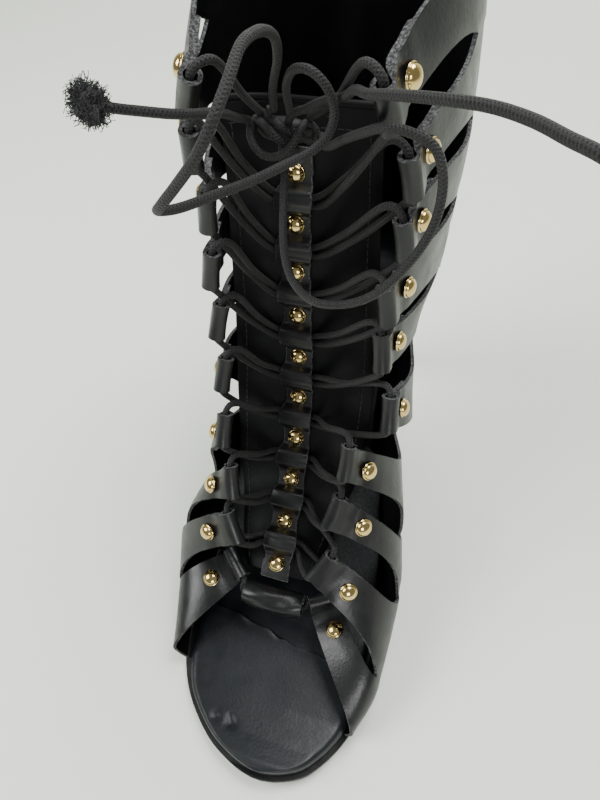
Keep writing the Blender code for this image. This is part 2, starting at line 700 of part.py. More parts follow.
def add_strap(mesh, side, strap):
    """One strap with the part of the quarter behind it."""
    cells = len(ACROSS[strap]) - 1
    grid_out, grid_in = [], []
    last_row = len(strap_runs(side, strap)) - 1
    for cell, across in enumerate(ACROSS[strap]):
        runs = strap_runs(side, strap - 1 + across)
        out_column, in_column = [], []
        for row, run in enumerate(runs):
            key = sheet_key(side, strap, cell, row, last_row)
            outer = strap_point(side, strap, across, run)
            normal = strap_normal(side, strap, across, run)
            if key[0] == "seam":
                outer[0] = 0.0
                normal = unit((0.0, normal[1], normal[2]))
            depth = 2 * WALL if row in DOUBLED_ROWS else WALL
            out_column.append(mesh.point(("out",) + key, outer))
            in_column.append(mesh.point(("in",) + key, outer - depth * normal))
        grid_out.append(out_column)
        grid_in.append(in_column)
    for cell in range(cells):
        for row in range(last_row):
            a, b = grid_out[cell][row], grid_out[cell + 1][row]
            c, d = grid_out[cell + 1][row + 1], grid_out[cell][row + 1]
            mesh.face(a, b, c, d)
            if row > 0:
                a, b = grid_in[cell][row], grid_in[cell + 1][row]
                c, d = grid_in[cell + 1][row + 1], grid_in[cell][row + 1]
                mesh.face(a, b, c, d)
    add_fold(mesh, side, strap, grid_out, grid_in)
    edges = ((0, SLIT_ROW if strap > 1 else last_row),
             (cells, SLIT_ROW if strap < STRAPS else last_row))
    for cell, last in edges:
        for row in range(1, last):
            mesh.face(grid_out[cell][row], grid_out[cell][row + 1],
                      grid_in[cell][row + 1], grid_in[cell][row])
    if strap <= SEAM_STATION:
        for cell in range(cells):
            mesh.face(grid_out[cell][last_row], grid_out[cell + 1][last_row],
                      grid_in[cell + 1][last_row], grid_in[cell][last_row])


def add_fold(mesh, side, strap, grid_out, grid_in):
    """The strap's end, turned inward round the lace and joined under itself."""
    middle, axis, tip, outward = FOLD_FRAMES[side, strap]
    cells = len(ACROSS[strap]) - 1
    bore = FOLD_RADIUS - WALL
    rims, bores = [], []
    for cell, across in enumerate(ACROSS[strap]):
        centre = middle + axis * (across - 0.5) * STRAP_END
        rim = [grid_out[cell][0]]
        for step, angle in enumerate(FOLD_ANGLES[1:], 1):
            spot = centre + FOLD_RADIUS * (math.cos(angle) * tip + math.sin(angle) * outward)
            rim.append(mesh.point(("rim", side, strap, cell, step), spot))
        rim += [grid_in[cell][1], grid_out[cell][1]]
        hole = []
        for step, angle in enumerate(list(FOLD_ANGLES) + [math.radians(155), math.radians(120)]):
            spot = centre + bore * (math.cos(angle) * tip + math.sin(angle) * outward)
            hole.append(mesh.point(("bore", side, strap, cell, step), spot))
        rims.append(rim)
        bores.append(hole)
    count = len(rims[0])
    for cell in range(cells):
        for step in range(count - 2):
            mesh.face(rims[cell][step], rims[cell][step + 1],
                      rims[cell + 1][step + 1], rims[cell + 1][step])
        for step in range(count):
            after = (step + 1) % count
            mesh.face(bores[cell][step], bores[cell][after],
                      bores[cell + 1][after], bores[cell + 1][step])
    for cell in (0, cells):
        for step in range(count):
            after = (step + 1) % count
            mesh.face(rims[cell][step], rims[cell][after], bores[cell][after], bores[cell][step])


def upper_mesh():
    mesh = UpperMesh()
    for side in (MEDIAL, LATERAL):
        for strap in range(1, STRAPS + 1):
            add_strap(mesh, side, strap)
    return mesh_from("upper", mesh.points, mesh.faces)


# ---- T-strap, tongue, vamp lining and roll -----------------------------------------------------------
STUD_POINTS = np.stack([column(T_STUDS, k) for k in ("x", "y", "z")], axis=1)


def extended_studs():
    """The stud line with one more pitch at each end."""
    first = STUD_POINTS[0] + 0.9 * (STUD_POINTS[0] - STUD_POINTS[1]) + np.array([0, 0, -1.5])
    last = 2 * STUD_POINTS[-1] - STUD_POINTS[-2] + np.array([0.2, -1.6, 0.5])
    far = 2 * last - STUD_POINTS[-1]
    return np.vstack([first, STUD_POINTS, last, far])


FRONT_CURVES = [curve_through(np.arange(0, 13), extended_studs()[:, k]) for k in range(3)]


def front_line(along):
    """Seat line of the studs; 'along' counts them from the toe."""
    return np.array([float(curve(along)) for curve in FRONT_CURVES])


def front_normal(along):
    ahead = front_line(along + 0.15) - front_line(along - 0.15)
    return unit((0.0, -ahead[2], ahead[1]))


def strap_lift(along):
    """The T-strap is flat under each stud and rises over the lace between two."""
    from_stud = abs(along - round(along))
    if along < 1.0 or along > 10.0:
        return 0.0
    pitch = float(np.linalg.norm(front_line(math.floor(along) + 0.999)
                                 - front_line(math.floor(along))))
    reach = np.clip((from_stud * pitch - 3.3) / 2.2, 0.0, 1.0)
    return T_STRAP_LIFT * float(reach * reach * (3 - 2 * reach))


def t_strap_mesh():
    rings = []
    stations = [0.62, 0.8]
    for stud in range(1, 10):
        stations += [stud + t for t in (0.0, 0.2, 0.26, 0.34, 0.66, 0.74, 0.8)]
    stations += [10.0, 10.25, 10.5]
    half = T_STRAP_WIDTH / 2
    for along in stations:
        normal = front_normal(along)
        lift = strap_lift(along)
        below = front_line(along) - normal * (T_STRAP_THICKNESS - lift)
        above = front_line(along) + normal * lift
        wide = np.array([half + 0.1 * lift, 0.0, 0.0])
        rings.append([below - wide, below + wide, above + wide, above - wide])
    return mesh_from("t_strap", *loft(rings))


TONGUE_CURVES = {name: table_curve(TONGUE, "along", name) for name in TONGUE["columns"][1:]}


def tongue_point(along, across, depth):
    """Tongue surface: 'across' runs -1 to 1 from lateral to medial edge."""
    name = "medial" if across > 0 else "lateral"
    half = float(TONGUE_CURVES[name](along))
    drop = float(TONGUE_CURVES[name + "_drop"](along)) * abs(across) ** TONGUE_CURL
    point = front_line(along) + np.array([half * across, 0.0, 0.0])
    return point - front_normal(along) * (T_STRAP_THICKNESS + 0.7 + depth + drop)


def tongue_mesh():
    rings = []
    spots = np.linspace(-1, 1, 8)
    for along in np.linspace(0.75, 11.2, 15):
        above = [tongue_point(along, t, 0.0) for t in spots]
        below = [tongue_point(along, t, TONGUE_THICKNESS) for t in spots]
        rings.append(above + below[::-1])
    return mesh_from("tongue", *loft(rings))


LINING_CURVES = {name: table_curve(VAMP_LINING, "along", name)
                 for name in VAMP_LINING["columns"][1:]}


def lining_section(along, depth):
    """Arch under the tongue and down to the sock on either side."""
    value = {name: float(curve(along)) for name, curve in LINING_CURVES.items()}
    below = TONGUE_THICKNESS + 2 * GAP + depth
    y = value["base_y"]
    halves = []
    for side, word in ((LATERAL, "lateral"), (MEDIAL, "medial")):
        crown = tongue_point(along, 0.0, below)
        shoulder = tongue_point(along, side * 0.55, below)
        edge = tongue_point(along, side, below + EDGE_CLEARANCE)
        base = np.array([side * (value["base_" + word] - depth), y,
                         insole_top(y) + BASE_CLEARANCE])
        belly = 0.45 * edge + 0.55 * base
        belly[0] = side * (value[word + "_belly"] - depth)
        route = smooth_route([crown, shoulder, edge, belly, base], pieces=2)
        halves.append(list(route))
    return halves[0][::-1] + halves[1][1:]


def vamp_lining_mesh():
    rings = []
    for along in np.linspace(1.15, 4.0, 6):
        rings.append(lining_section(along, 0.0) + lining_section(along, LINING_THICKNESS)[::-1])
    return mesh_from("vamp_lining", *loft(rings))


def vamp_roll_mesh():
    """Rolled leather at the T-strap's foot, hollow for the lace."""
    x, y, z = ROLL["middle"]
    sides = 10
    stations = (-1.0, -0.8, 0.0, 0.8, 1.0)
    swell = (0.9, 1.0, 0.97, 1.0, 0.88)
    outer, inner = [], []
    for t, grow in zip(stations, swell):
        spots = 2 * math.pi * (np.arange(sides) + 0.5) / sides
        centre = np.array([x + t * ROLL["half_length"], y + 1.2 * t * t, z - 0.6 * t * t])
        for ring, radius in ((outer, ROLL["radius"] * grow), (inner, ROLL["bore"])):
            ring.append([centre + radius * np.array([0.0, math.cos(a), math.sin(a)])
                         for a in spots])
    points, faces = loft(outer, close_ends=False)
    offset = len(points)
    more, more_faces = loft(inner, close_ends=False)
    points += more
    faces += [tuple(offset + i for i in face) for face in more_faces]
    for ring in (0, len(stations) - 1):
        for i in range(sides):
            j = (i + 1) % sides
            faces.append((ring * sides + i, ring * sides + j,
                          offset + ring * sides + j, offset + ring * sides + i))
    return mesh_from("vamp_roll", points, faces)


# ---- studs -------------------------------------------------------------------------------------------
def stud_mesh():
    """Low dome on a short rim, standing on z = 0."""
    sides = 8
    spots = 2 * math.pi * np.arange(sides) / sides
    rings = [[(r * math.cos(a), r * math.sin(a), z) for a in spots]
             for r, z in ((STUD_RADIUS, 0.0), (STUD_RADIUS, 0.4), (2.35, 1.45))]
    points, faces = loft(rings)
    faces.pop()
    points.append((0.0, 0.0, STUD_HEIGHT))
    last = len(points) - 1
    faces += [(2 * sides + i, 2 * sides + (i + 1) % sides, last) for i in range(sides)]
    return mesh_from("stud", points, faces)


def place_stud(name, mesh, material, parent, seat, normal):
    stud = add_object(name, mesh, material, parent, smooth_angle=60.0)
    stud.location = Vector((seat + normal * (GAP + 0.1)) * MM)
    stud.rotation_euler = Vector(normal).to_track_quat("Z", "Y").to_euler()
    return stud


def add_studs(material, parent):
    mesh = stud_mesh()
    for stud in range(1, 11):
        place_stud(f"stud_front_{stud:02d}", mesh, material, parent,
                   front_line(stud), front_normal(stud))
    for side, word in ((MEDIAL, "medial"), (LATERAL, "lateral")):
        for strap in range(1, STRAPS + 1):
            setback = FOLDS[side]["rows"][strap - 1][-1]
            seat = strap_point(side, strap, 0.5, setback)
            normal = strap_normal(side, strap, 0.5, setback)
            place_stud(f"stud_{word}_{strap:02d}", mesh, material, parent,
                       seat + normal * 0.25, normal)


# ---- lace --------------------------------------------------------------------------------------------------
def crossing_point(interval, shift=0.0):
    """Where the two strands cross below the T-strap, between two studs."""
    along = interval + 0.5 + shift
    return front_line(along) - front_normal(along) * (T_STRAP_THICKNESS - LACE_RADIUS - 0.05)


def fold_exit(side, strap, end, target):
    """Points round one end of a fold (-1 lower, 1 upper) on the way to a target."""
    middle, axis, _, _ = FOLD_FRAMES[side, strap]
    way = np.asarray(target) - middle
    inward = unit(way - axis * way.dot(axis))
    reach = STRAP_END / 2
    points = [middle + end * axis * (reach - 0.5),
              middle + end * axis * (reach + 1.9) + inward * 0.5]
    if end * way.dot(axis) < reach:
        points += [middle + end * axis * (reach + 1.9) + inward * 3.6,
                   middle + end * axis * (reach - 1.0) + inward * 6.0]
    else:
        points.append(middle + end * axis * (reach + 2.4) + inward * 6.5)
    return points


def zigzag(first_side):
    """Strand from the roll up to a top fold, crossing over at every interval."""
    side = first_side
    x, y, z = ROLL["middle"]
    first, axis, _, _ = FOLD_FRAMES[side, 1]
    inner = first - axis * (STRAP_END / 2 + 0.9)
    mouth = np.array([x + side * (ROLL["half_length"] + 1.3), y + 1.2, z - 0.4])
    points = [np.array([x, y, z]), mouth, inner]
    if np.linalg.norm(mouth - inner) < 2.5:
        points.pop(1)
    for strap in range(1, STRAPS):
        cross = crossing_point(strap)
        leave = fold_exit(side, strap, 1, cross)
        arrive = fold_exit(-side, strap + 1, -1, cross)[::-1]
        climb = unit(crossing_point(strap, 0.1) - crossing_point(strap, -0.1))
        lift = 0.5 * front_normal(strap + 0.5)
        half_way = np.array([side * 7.2, 0, 0]) - 1.6 * climb
        points += leave + [cross + half_way + lift, cross - half_way + lift] + arrive
        side = -side
    knot = np.array(KNOT_MIDDLE) + np.array([side * 7.5, 2.0, KNOT_SIZE[2] - 0.3])
    leave = fold_exit(side, STRAPS, 1, knot)
    sag = 0.5 * (leave[-1] + knot) + np.array([0.0, 2.2, -2.5])
    points += leave + [sag, knot]
    return points


def lace_mesh(name, first_side):
    return mesh_from(name, *tube(zigzag(first_side), LACE_RADIUS, 6))


def add_lace(material, parent):
    """Both strands of the one lace, joined where they cross and inside the roll."""
    strand = add_object("lace", lace_mesh("lace", MEDIAL), material, parent)
    other = add_object("lace_cutter", lace_mesh("lace_cutter", LATERAL), material, parent)
    other.hide_render = True
    other.display_type = "WIRE"
    union = strand.modifiers.new("join_strands", "BOOLEAN")
    union.operation = "UNION"
    union.solver = "EXACT"
    union.object = other


def add_cord(name, points, material, parent):
    route = even_steps(smooth_route(points), CORD_STEP)
    curve = bpy.data.curves.new(name, "CURVE")
    curve.dimensions = "3D"
    curve.bevel_depth = LACE_RADIUS * MM
    curve.bevel_resolution = 2
    curve.use_fill_caps = True
    spline = curve.splines.new("POLY")
    spline.points.add(len(route) - 1)
    for spot, point in zip(spline.points, route):
        spot.co = (*(point * MM), 1.0)
    add_object(name, curve, material, parent)


def knot_mesh():
    """Plain outer shape of the knot."""
    rings = []
    for t in (-0.92, -0.6, -0.2, 0.2, 0.6, 0.92):
        size = math.sqrt(1 - t * t)
        rings.append([np.array(KNOT_MIDDLE) + np.array([
            KNOT_SIZE[0] * t, KNOT_SIZE[1] * size * math.cos(a), KNOT_SIZE[2] * size * math.sin(a)])
            for a in 2 * math.pi * np.arange(10) / 10])
    return mesh_from("lace_knot", *loft(rings))


# ---- the boot -------------------------------------------------------------------------------------------------
def build_boot():
    clear_scene()
    materials = make_materials()
    boot = bpy.data.objects.new("boot_frame", None)
    bpy.context.scene.collection.objects.link(boot)
    boot.location = Vector(LAST_TO_ORIGIN) * MM
    leather = materials["black_leather"]
    add_object("outsole", outsole_mesh(), materials["black_rubber"], boot)
    add_object("insole", insole_mesh(), materials["sock_leather"], boot)
    add_object("heel", heel_mesh(), leather, boot)
    add_object("heel_tip", heel_tip_mesh(), materials["black_rubber"], boot)
    add_object("upper", upper_mesh(), leather, boot)
    add_object("tongue", tongue_mesh(), materials["matte_leather"], boot)
    add_object("vamp_lining", vamp_lining_mesh(), materials["lining_cloth"], boot)
    add_object("t_strap", t_strap_mesh(), leather, boot)
    add_object("vamp_roll", vamp_roll_mesh(), leather, boot)
    add_studs(materials["gold_metal"], boot)
    add_lace(materials["elastic_cord"], boot)
    add_object("lace_knot", knot_mesh(), materials["elastic_cord"], boot)
    for name, points in CORD_ROUTES.items():
        add_cord(name, points, materials["elastic_cord"], boot)


build_boot()
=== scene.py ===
"""Open-toe caged ankle boot, right foot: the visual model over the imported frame.

Lengths are millimetres in the last's own frame: +X medial, toe to -Y, +Z up.
world() moves them to the frame's origin and turns them into metres.
"""
import math

import bmesh
import bpy
import numpy as np
from mathutils import Matrix, Vector

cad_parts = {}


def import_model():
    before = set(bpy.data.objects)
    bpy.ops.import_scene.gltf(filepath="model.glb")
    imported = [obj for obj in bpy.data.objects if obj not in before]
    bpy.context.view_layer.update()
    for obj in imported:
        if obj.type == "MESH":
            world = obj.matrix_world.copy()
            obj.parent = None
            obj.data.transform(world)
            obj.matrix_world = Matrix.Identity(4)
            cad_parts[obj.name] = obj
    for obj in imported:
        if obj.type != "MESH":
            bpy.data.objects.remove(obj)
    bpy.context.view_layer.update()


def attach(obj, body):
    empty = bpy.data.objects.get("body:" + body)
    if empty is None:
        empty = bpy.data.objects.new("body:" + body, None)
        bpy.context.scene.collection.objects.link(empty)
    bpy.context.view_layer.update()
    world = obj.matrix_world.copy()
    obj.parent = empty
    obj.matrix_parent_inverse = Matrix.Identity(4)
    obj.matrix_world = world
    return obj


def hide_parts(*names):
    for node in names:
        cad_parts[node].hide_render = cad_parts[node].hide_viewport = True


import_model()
RNG = np.random.default_rng(7)

MM = 0.001
MEDIAL, LATERAL = 1, -1

# ---- driving dimensions ----
LAST_TO_ORIGIN = (-1.97, -37.95, 0.0)   # moves the footprint's middle to the origin
GAP = 0.3                  # clearance between two pieces that touch
BASE_CLEARANCE = 0.5       # the same, where both pieces are curved
UPPER_CLEARANCE = 0.9      # the same, below the upper
WALL = 1.2                 # leather and lining of the upper
SOLE_THICKNESS = 3.5       # outsole with its insole board
INSOLE_THICKNESS = 4.5     # padded sock
UPPER_INSET = 0.6          # sole rim that shows outside the upper
INSOLE_INSET = (1.7, 4.7)  # sole rim outside the padded sock, at the toe and under the upper
INSOLE_INSET_Y = (-52.0, -26.0)
HEEL_TIP = 7.0             # rubber top piece
STRAPS = 10                # straps on each side
STRAP_END = 12.0           # width of a strap at its fold
FOLD_RADIUS = 2.9          # outside of the fold that holds the lace
FOLD_TAIL = 15.0           # doubled leather behind the fold
STUD_RADIUS = 3.2          # its flange
DOME_RADIUS = 2.86
DOME_RISE = 1.75
FLANGE_HEIGHT = 0.5
LACE_RADIUS = 1.1
T_STRAP_WIDTH = 11.0
T_STRAP_THICKNESS = 1.4
T_STRAP_LIFT = 4.0         # how far the T-strap rises over a crossing
TONGUE_THICKNESS = 2.0
TONGUE_GAP = 0.7           # from the T-strap's underside to the tongue
TONGUE_CURL = 2.6          # power by which the tongue's edges turn away from flat
LINING_THICKNESS = 1.2

# ---- shape tables ----
SOLE_OUTLINE = {"columns": ("y", "medial", "lateral"), "rows": (
    (-66, 26, 5), (-58, 33.5, 16.5), (-48, 39, 25.5), (-36, 43, 31.5), (-20, 45, 35),
    (-2, 42.5, 36), (18, 35, 33.5), (42, 26.5, 29), (68, 22.5, 26), (95, 23.5, 25),
    (118, 24.5, 24.5), (136, 18, 18),
)}
TOE_TIP = (11.5, -70.6)
HEEL_BACK = (0.0, 146.5)

SOLE_PROFILE = {"columns": ("y", "bottom"), "rows": (
    (-70.6, 4.2), (-58, 1.2), (-46, 0), (-4, 0), (8, 2.4), (24, 11), (45, 30), (70, 54), (95, 75),
    (118, 88), (146.5, 93),
)}

# One row per strap, from the toe: the middle of its fold, the fold axis by the
# angle that it climbs in the side view and the angle that it spreads outward,
# and the stud's distance from the fold.
FOLD_COLUMNS = ("x", "y", "z", "climb", "spread", "stud")
FOLDS = {
    MEDIAL: (
        (19.4, -9.3, 27, 0, 57, 11.5), (18.5, -7, 50.5, 54, 28, 12),
        (19.7, 5.5, 69.5, 52, 12, 11), (21.5, 15.2, 86.5, 58, 0, 8.3), (32, 28, 100.5, 62, -5, 8),
        (26.7, 35.5, 119.5, 68, -8, 9), (26.7, 38, 136.5, 82, -9, 9), (29, 44, 155, 90, -8, 7.2),
        (29.2, 44, 173.5, 100, -9, 7.5), (23.8, 36.5, 193, 108, -8, 7.5),
    ),
    LATERAL: (
        (17, -6.7, 31.3, 22, 45, 11), (16.3, -3.4, 56, 56, 26, 9.3), (18.6, 6.8, 70.5, 56, 10, 9),
        (22.6, 16.5, 87.5, 58, 0, 8), (25.6, 29.2, 101.5, 62, -5, 9),
        (27.2, 36, 119.5, 68, -8, 9), (27.8, 39, 138, 82, -9, 9), (27.8, 43.5, 155, 90, -8, 7.2),
        (28.3, 42.5, 174.5, 100, -9, 7.5), (23.3, 37.5, 191.5, 111.6, -24, 6.2),
    ),
}
FOLD_AIM = (14.0, 24.0)    # how far along the quarter a low and a high strap's end aims from
HIGH_STRAPS = 8            # first strap that counts as high

# The quarters, cut into sections from the throat to the sole or the back seam.
# One row per station: 0 is the toe opening, 10 the collar, and the back seam
# starts at 6. 'sweep' 1 makes a section straight in plan, 0 straight in the side view,
# 'rise' lifts its front part, 'slit' is its slit's length from the fold and
# 'open' widens the slit behind the fold.
QUARTER_COLUMNS = ("throat_x", "throat_y", "throat_z", "base_y", "base_z", "bulge", "sweep",
                   "rise", "slit", "open")
QUARTER = {
    MEDIAL: (
        (15.5, -14, 26, -48, 0, 40.6, 1, 0, 33, 0), (21, -6, 41, -31, 0, 46, 0.95, 0, 40, 0.09),
        (21, 1, 61, -2, 0, 47, 0.4, 0, 45, 0.18), (23, 11, 78.5, 24, 0, 43, 0.1, 0, 49, 0.2),
        (26.5, 22, 95, 60, 0, 36.5, 0, 0, 50, 0.2), (27.5, 32, 111, 98, 0, 33, 0, 0, 50, 0.12),
        (29, 37.5, 129, 146, 98.3, 36.8, 0, 0, 50, 0.1),
        (28.5, 41, 147, 143.5, 128, 38.4, 0, 6, 48, 0.1),
        (28, 42, 168, 139, 160, 39.4, 0, 6, 48, 0.08),
        (25.5, 39, 189, 138.5, 190, 38.2, 0, 5, 40, 0.16),
        (20, 35.5, 201.5, 141, 215, 36, 0, 4.5, 24, 0),
    ),
    LATERAL: (
        (14, -12.5, 28, -39.5, 0, 33.6, 1, 0, 28, 0), (19, -4.5, 44, -17.5, 0, 40, 0.6, 0, 36, 0),
        (20, 2, 63, 1, 0, 43, 0.4, 0, 42, 0.08), (22, 11, 78.5, 25, 0, 36.4, 0.1, 0, 46, 0.18),
        (24, 22, 95, 60, 0, 33.4, 0, 0, 50, 0.16), (26.5, 32, 111, 98, 0, 34, 0, 0, 50, 0.1),
        (27, 37.5, 129, 146, 98.3, 35, 0, 0, 50, 0.1),
        (27.5, 41, 147, 143.5, 128, 36, 0, 4.5, 48, 0.1),
        (27, 42, 167, 139, 160, 36.6, 0, 4, 48, 0.08),
        (24.5, 39, 188, 138.5, 190, 36.2, 0, 5, 40, 0.16),
        (18, 35.5, 201, 141, 215, 35, 0, 3, 24, 0),
    ),
}
SEAM_STATION = 6
SHAFT_HUG = 0.8            # how much the shaft's sections keep straight behind the throat
FOLD_CUT = 0.15            # share of the pitch that the slit takes off a strap's edge at its fold

# Seats of the T-strap's studs, from the toe.
T_STUDS = (
    (-1, -3.7, 34.5), (-2.3, 11.6, 40.6), (-3.6, 25.7, 49.3), (-5, 37.9, 60.3),
    (-6.3, 47.7, 73.6), (-7.7, 54.8, 88.5), (-9, 60.4, 104), (-10.2, 65.2, 119.8),
    (-11, 70, 135.8), (-11.3, 74.3, 151.8),
)

# The tongue below the T-strap: half widths to each side of the strap's middle,
# and how far its edges fall away from the strap. 'along' counts studs.
TONGUE = {"columns": ("along", "medial", "lateral", "medial_drop", "lateral_drop"), "rows": (
    (0.75, 13, 13, 3, 3), (1.5, 16.5, 17, 4, 3.5), (2.5, 21, 20.6, 5, 3), (3.5, 25.5, 24, 6, 0),
    (4.5, 27, 24.2, 6, -4.5), (6, 28, 22.4, 6, -9), (8, 28, 21, 4, -9.5), (10, 27, 22, 2, -7.5),
    (11.2, 26, 23.5, 1, -6),
)}

# Arched lining under the lower tongue, down to the padded sock on each side.
VAMP_LINING = {"columns": ("along", "base_y", "base_medial", "base_lateral", "medial_belly",
                           "lateral_belly"), "rows": (
    (1.15, 4, 34, 30, 36.5, 32), (2, 13, 31, 28.5, 35.5, 31), (3, 26, 26, 25.5, 32, 29),
    (4, 42, 20.5, 21.5, 29, 27),
)}

HEEL = {"columns": ("drop", "middle_y", "half_length", "half_width"), "rows": (
    (0, 126.5, 18, 22), (0.12, 127.5, 16, 19), (0.32, 130, 12.5, 13.5), (0.62, 132, 9.8, 10),
    (1, 133, 8.2, 8.4),
)}

ROLL = {"middle": (0.6, -15.2, 26.5), "half_length": 11.8, "radius": 4.9, "bore": 3.1}

# ---- cords: the bow, in the last's frame ----
KNOT_MIDDLE = (-9.2, 62.0, 172.0)
KNOT_SIZE = (10.5, 4.6, 5.2)
CORD_ROUTES = {
    "lace_loop_lateral": (
        (-11.5, 60.5, 178.2), (-8.5, 53.5, 187), (-3.5, 45, 197.5), (0, 34.5, 206),
        (1, 24.5, 210.5), (1, 15.5, 211.5), (1.5, 7, 209), (0.5, 1, 205), (-3, -1, 199),
        (-8, -1.5, 193), (-13, -1, 187.5), (-15, 1, 185), (-13, 4.5, 183.5), (-7.5, 14, 182),
        (-2.5, 22.5, 181), (2, 29.5, 181), (6, 36, 181), (9.4, 41, 183.4), (10.2, 43.1, 188.2),
        (8.4, 42.3, 193.8), (5, 42.5, 196.5), (0, 46, 195), (-4, 51, 189), (-6.5, 59.3, 178.4),
    ),
    "lace_loop_medial": (
        (1.8, 60, 172.5), (5, 53, 173.5), (12.4, 43.2, 181.2), (19, 35.2, 187.6),
        (24.6, 31.4, 191.2), (31, 29.4, 191.4), (35.5, 28.5, 189.5), (38, 26.5, 185),
        (38.5, 24, 179), (37, 22, 172.5), (33, 20, 165), (27, 19, 157), (19.5, 19.5, 151.5),
        (11, 21, 149), (4, 26, 149), (-1, 33, 151), (-4.5, 42, 154.5), (-6.5, 50, 160),
        (-8, 57, 166),
    ),
    "lace_end_lateral": (
        (-19.2, 60.4, 174.6), (-17.6, 49, 181), (-16.2, 40, 186.2), (-15.9, 33, 189.8),
        (-16.3, 26.2, 192.6), (-19, 20.6, 195), (-23.2, 17.2, 196.7), (-28, 14.4, 198.2),
        (-32, 12.2, 199.8),
    ),
    "lace_end_medial": (
        (-2, 57, 180.5), (5.8, 51, 186.4), (12.2, 44.3, 190.8), (16.9, 36, 196.2),
        (21, 29.5, 198.5), (26, 25, 200.8), (31, 21.5, 202.5), (38, 16.5, 204.7),
        (45.5, 11.5, 206.5), (52, 5, 208), (57, -1.5, 209), (62, -8, 210), (69, -13.5, 208),
        (77, -18, 203),
    ),
}

# ---- small mathematics ----
def column(table, name):
    """One named column of a table, as an array."""
    index = table["columns"].index(name)
    return np.array([row[index] for row in table["rows"]], float)


def curve_through(knots, values):
    """Smooth curve through the values that never overshoots them (monotone cubic)."""
    knots = np.asarray(knots, float)
    values = np.asarray(values, float)
    step = np.diff(knots)
    slope = np.diff(values) / step
    tangent = np.zeros_like(values)
    tangent[0] = slope[0]
    tangent[-1] = slope[-1]
    for i in range(1, len(values) - 1):
        if slope[i - 1] * slope[i] > 0:
            before = 2 * step[i] + step[i - 1]
            after = step[i] + 2 * step[i - 1]
            tangent[i] = (before + after) / (before / slope[i - 1] + after / slope[i])

    def evaluate(x):
        x = np.clip(x, knots[0], knots[-1])
        i = np.clip(np.searchsorted(knots, x, side="right") - 1, 0, len(step) - 1)
        t = (x - knots[i]) / step[i]
        rise = values[i] * (1 + 2 * t) * (1 - t) ** 2 + values[i + 1] * t * t * (3 - 2 * t)
        bend = step[i] * t * (1 - t) * (tangent[i] * (1 - t) - tangent[i + 1] * t)
        return rise + bend

    return evaluate


def table_curve(table, name):
    """Curve of one column against the table's first."""
    return curve_through(column(table, table["columns"][0]), column(table, name))


def table_curves(table):
    """Curves of all the table's columns but the first."""
    return {name: table_curve(table, name) for name in table["columns"][1:]}


def values_at(curves, place):
    """The curves' values at a place, by name."""
    return {name: float(curve(place)) for name, curve in curves.items()}


def unit(vector):
    """The vector at length 1."""
    vector = np.asarray(vector, float)
    return vector / np.linalg.norm(vector)


def blend(first, second, low, high, place):
    """Point between two, by a place between low and high."""
    return first * (high - place) / (high - low) + second * (place - low) / (high - low)


def smooth_route(points, closed=False, pieces=8):
    """Points of a centripetal Catmull-Rom curve through a short list of points."""
    points = [np.asarray(p, float) for p in points]
    if closed:
        points = [points[-1]] + points + points[:2]
    else:
        points = [2 * points[0] - points[1]] + points + [2 * points[-1] - points[-2]]
    route = []
    for a, b, c, d in zip(points, points[1:], points[2:], points[3:]):
        knots = [0.0]
        for p, q in ((a, b), (b, c), (c, d)):
            knots.append(knots[-1] + max(np.linalg.norm(q - p), 1e-6) ** 0.5)
        k0, k1, k2, k3 = knots
        for i in range(pieces):
            t = k1 + (k2 - k1) * i / pieces
            ab, bc, cd = blend(a, b, k0, k1, t), blend(b, c, k1, k2, t), blend(c, d, k2, k3, t)
            abc, bcd = blend(ab, bc, k0, k2, t), blend(bc, cd, k1, k3, t)
            route.append(blend(abc, bcd, k1, k2, t))
    if not closed:
        route.append(points[-2])
    return np.array(route)


def running(points):
    """Running length at each point of a line."""
    return np.r_[0, np.cumsum(np.linalg.norm(np.diff(points, axis=0), axis=1))]


def along_line(station, run, points):
    """The line's point, or rows of x, y and z, at one or more running lengths."""
    return np.array([np.interp(station, run, points[:, k]) for k in range(3)])


def even_steps(route, step):
    """The route's points again, evenly spaced about a step apart."""
    run = running(route)
    count = max(2, int(round(run[-1] / step)) + 1)
    return along_line(np.linspace(0, run[-1], count), run, route).T


def full_turn(count):
    """Evenly spaced angles of a full turn."""
    return 2 * math.pi * np.arange(count) / count


# ---- objects ----
def world(points):
    """Points of the last's frame, in millimetres, as metres of the boot's frame."""
    return (np.asarray(points, float) + np.array(LAST_TO_ORIGIN)) * MM


def new_object(name, data):
    """An object of the scene."""
    thing = bpy.data.objects.new(name, data)
    bpy.context.scene.collection.objects.link(thing)
    return thing


def new_mesh(name, points, faces, materials):
    """A smooth mesh from points in metres."""
    mesh = bpy.data.meshes.new(name)
    mesh.from_pydata([tuple(p) for p in points], [], faces)
    for material in materials:
        mesh.materials.append(material)
    mesh.shade_smooth()
    return mesh


def piece_from(name, points, faces, materials, indices=None, smooth_angle=50.0, uvs=None,
               outward=True):
    """A mesh piece that rides on the boot; 'indices' gives each face its material."""
    mesh = new_mesh(name, world(points), faces, materials)
    if indices is not None:
        mesh.polygons.foreach_set("material_index", indices)
    if uvs is not None:
        layer = mesh.uv_layers.new(name="UVMap")
        layer.data.foreach_set("uv", np.asarray(uvs, float).ravel())
    if outward:
        bm = bmesh.new()
        bm.from_mesh(mesh)
        bmesh.ops.recalc_face_normals(bm, faces=bm.faces)
        if bm.calc_volume(signed=True) < 0:
            bmesh.ops.reverse_faces(bm, faces=bm.faces)
        bm.to_mesh(mesh)
        bm.free()
    mesh.set_sharp_from_angle(angle=math.radians(smooth_angle))
    thing = new_object(name, mesh)
    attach(thing, "root")
    return thing


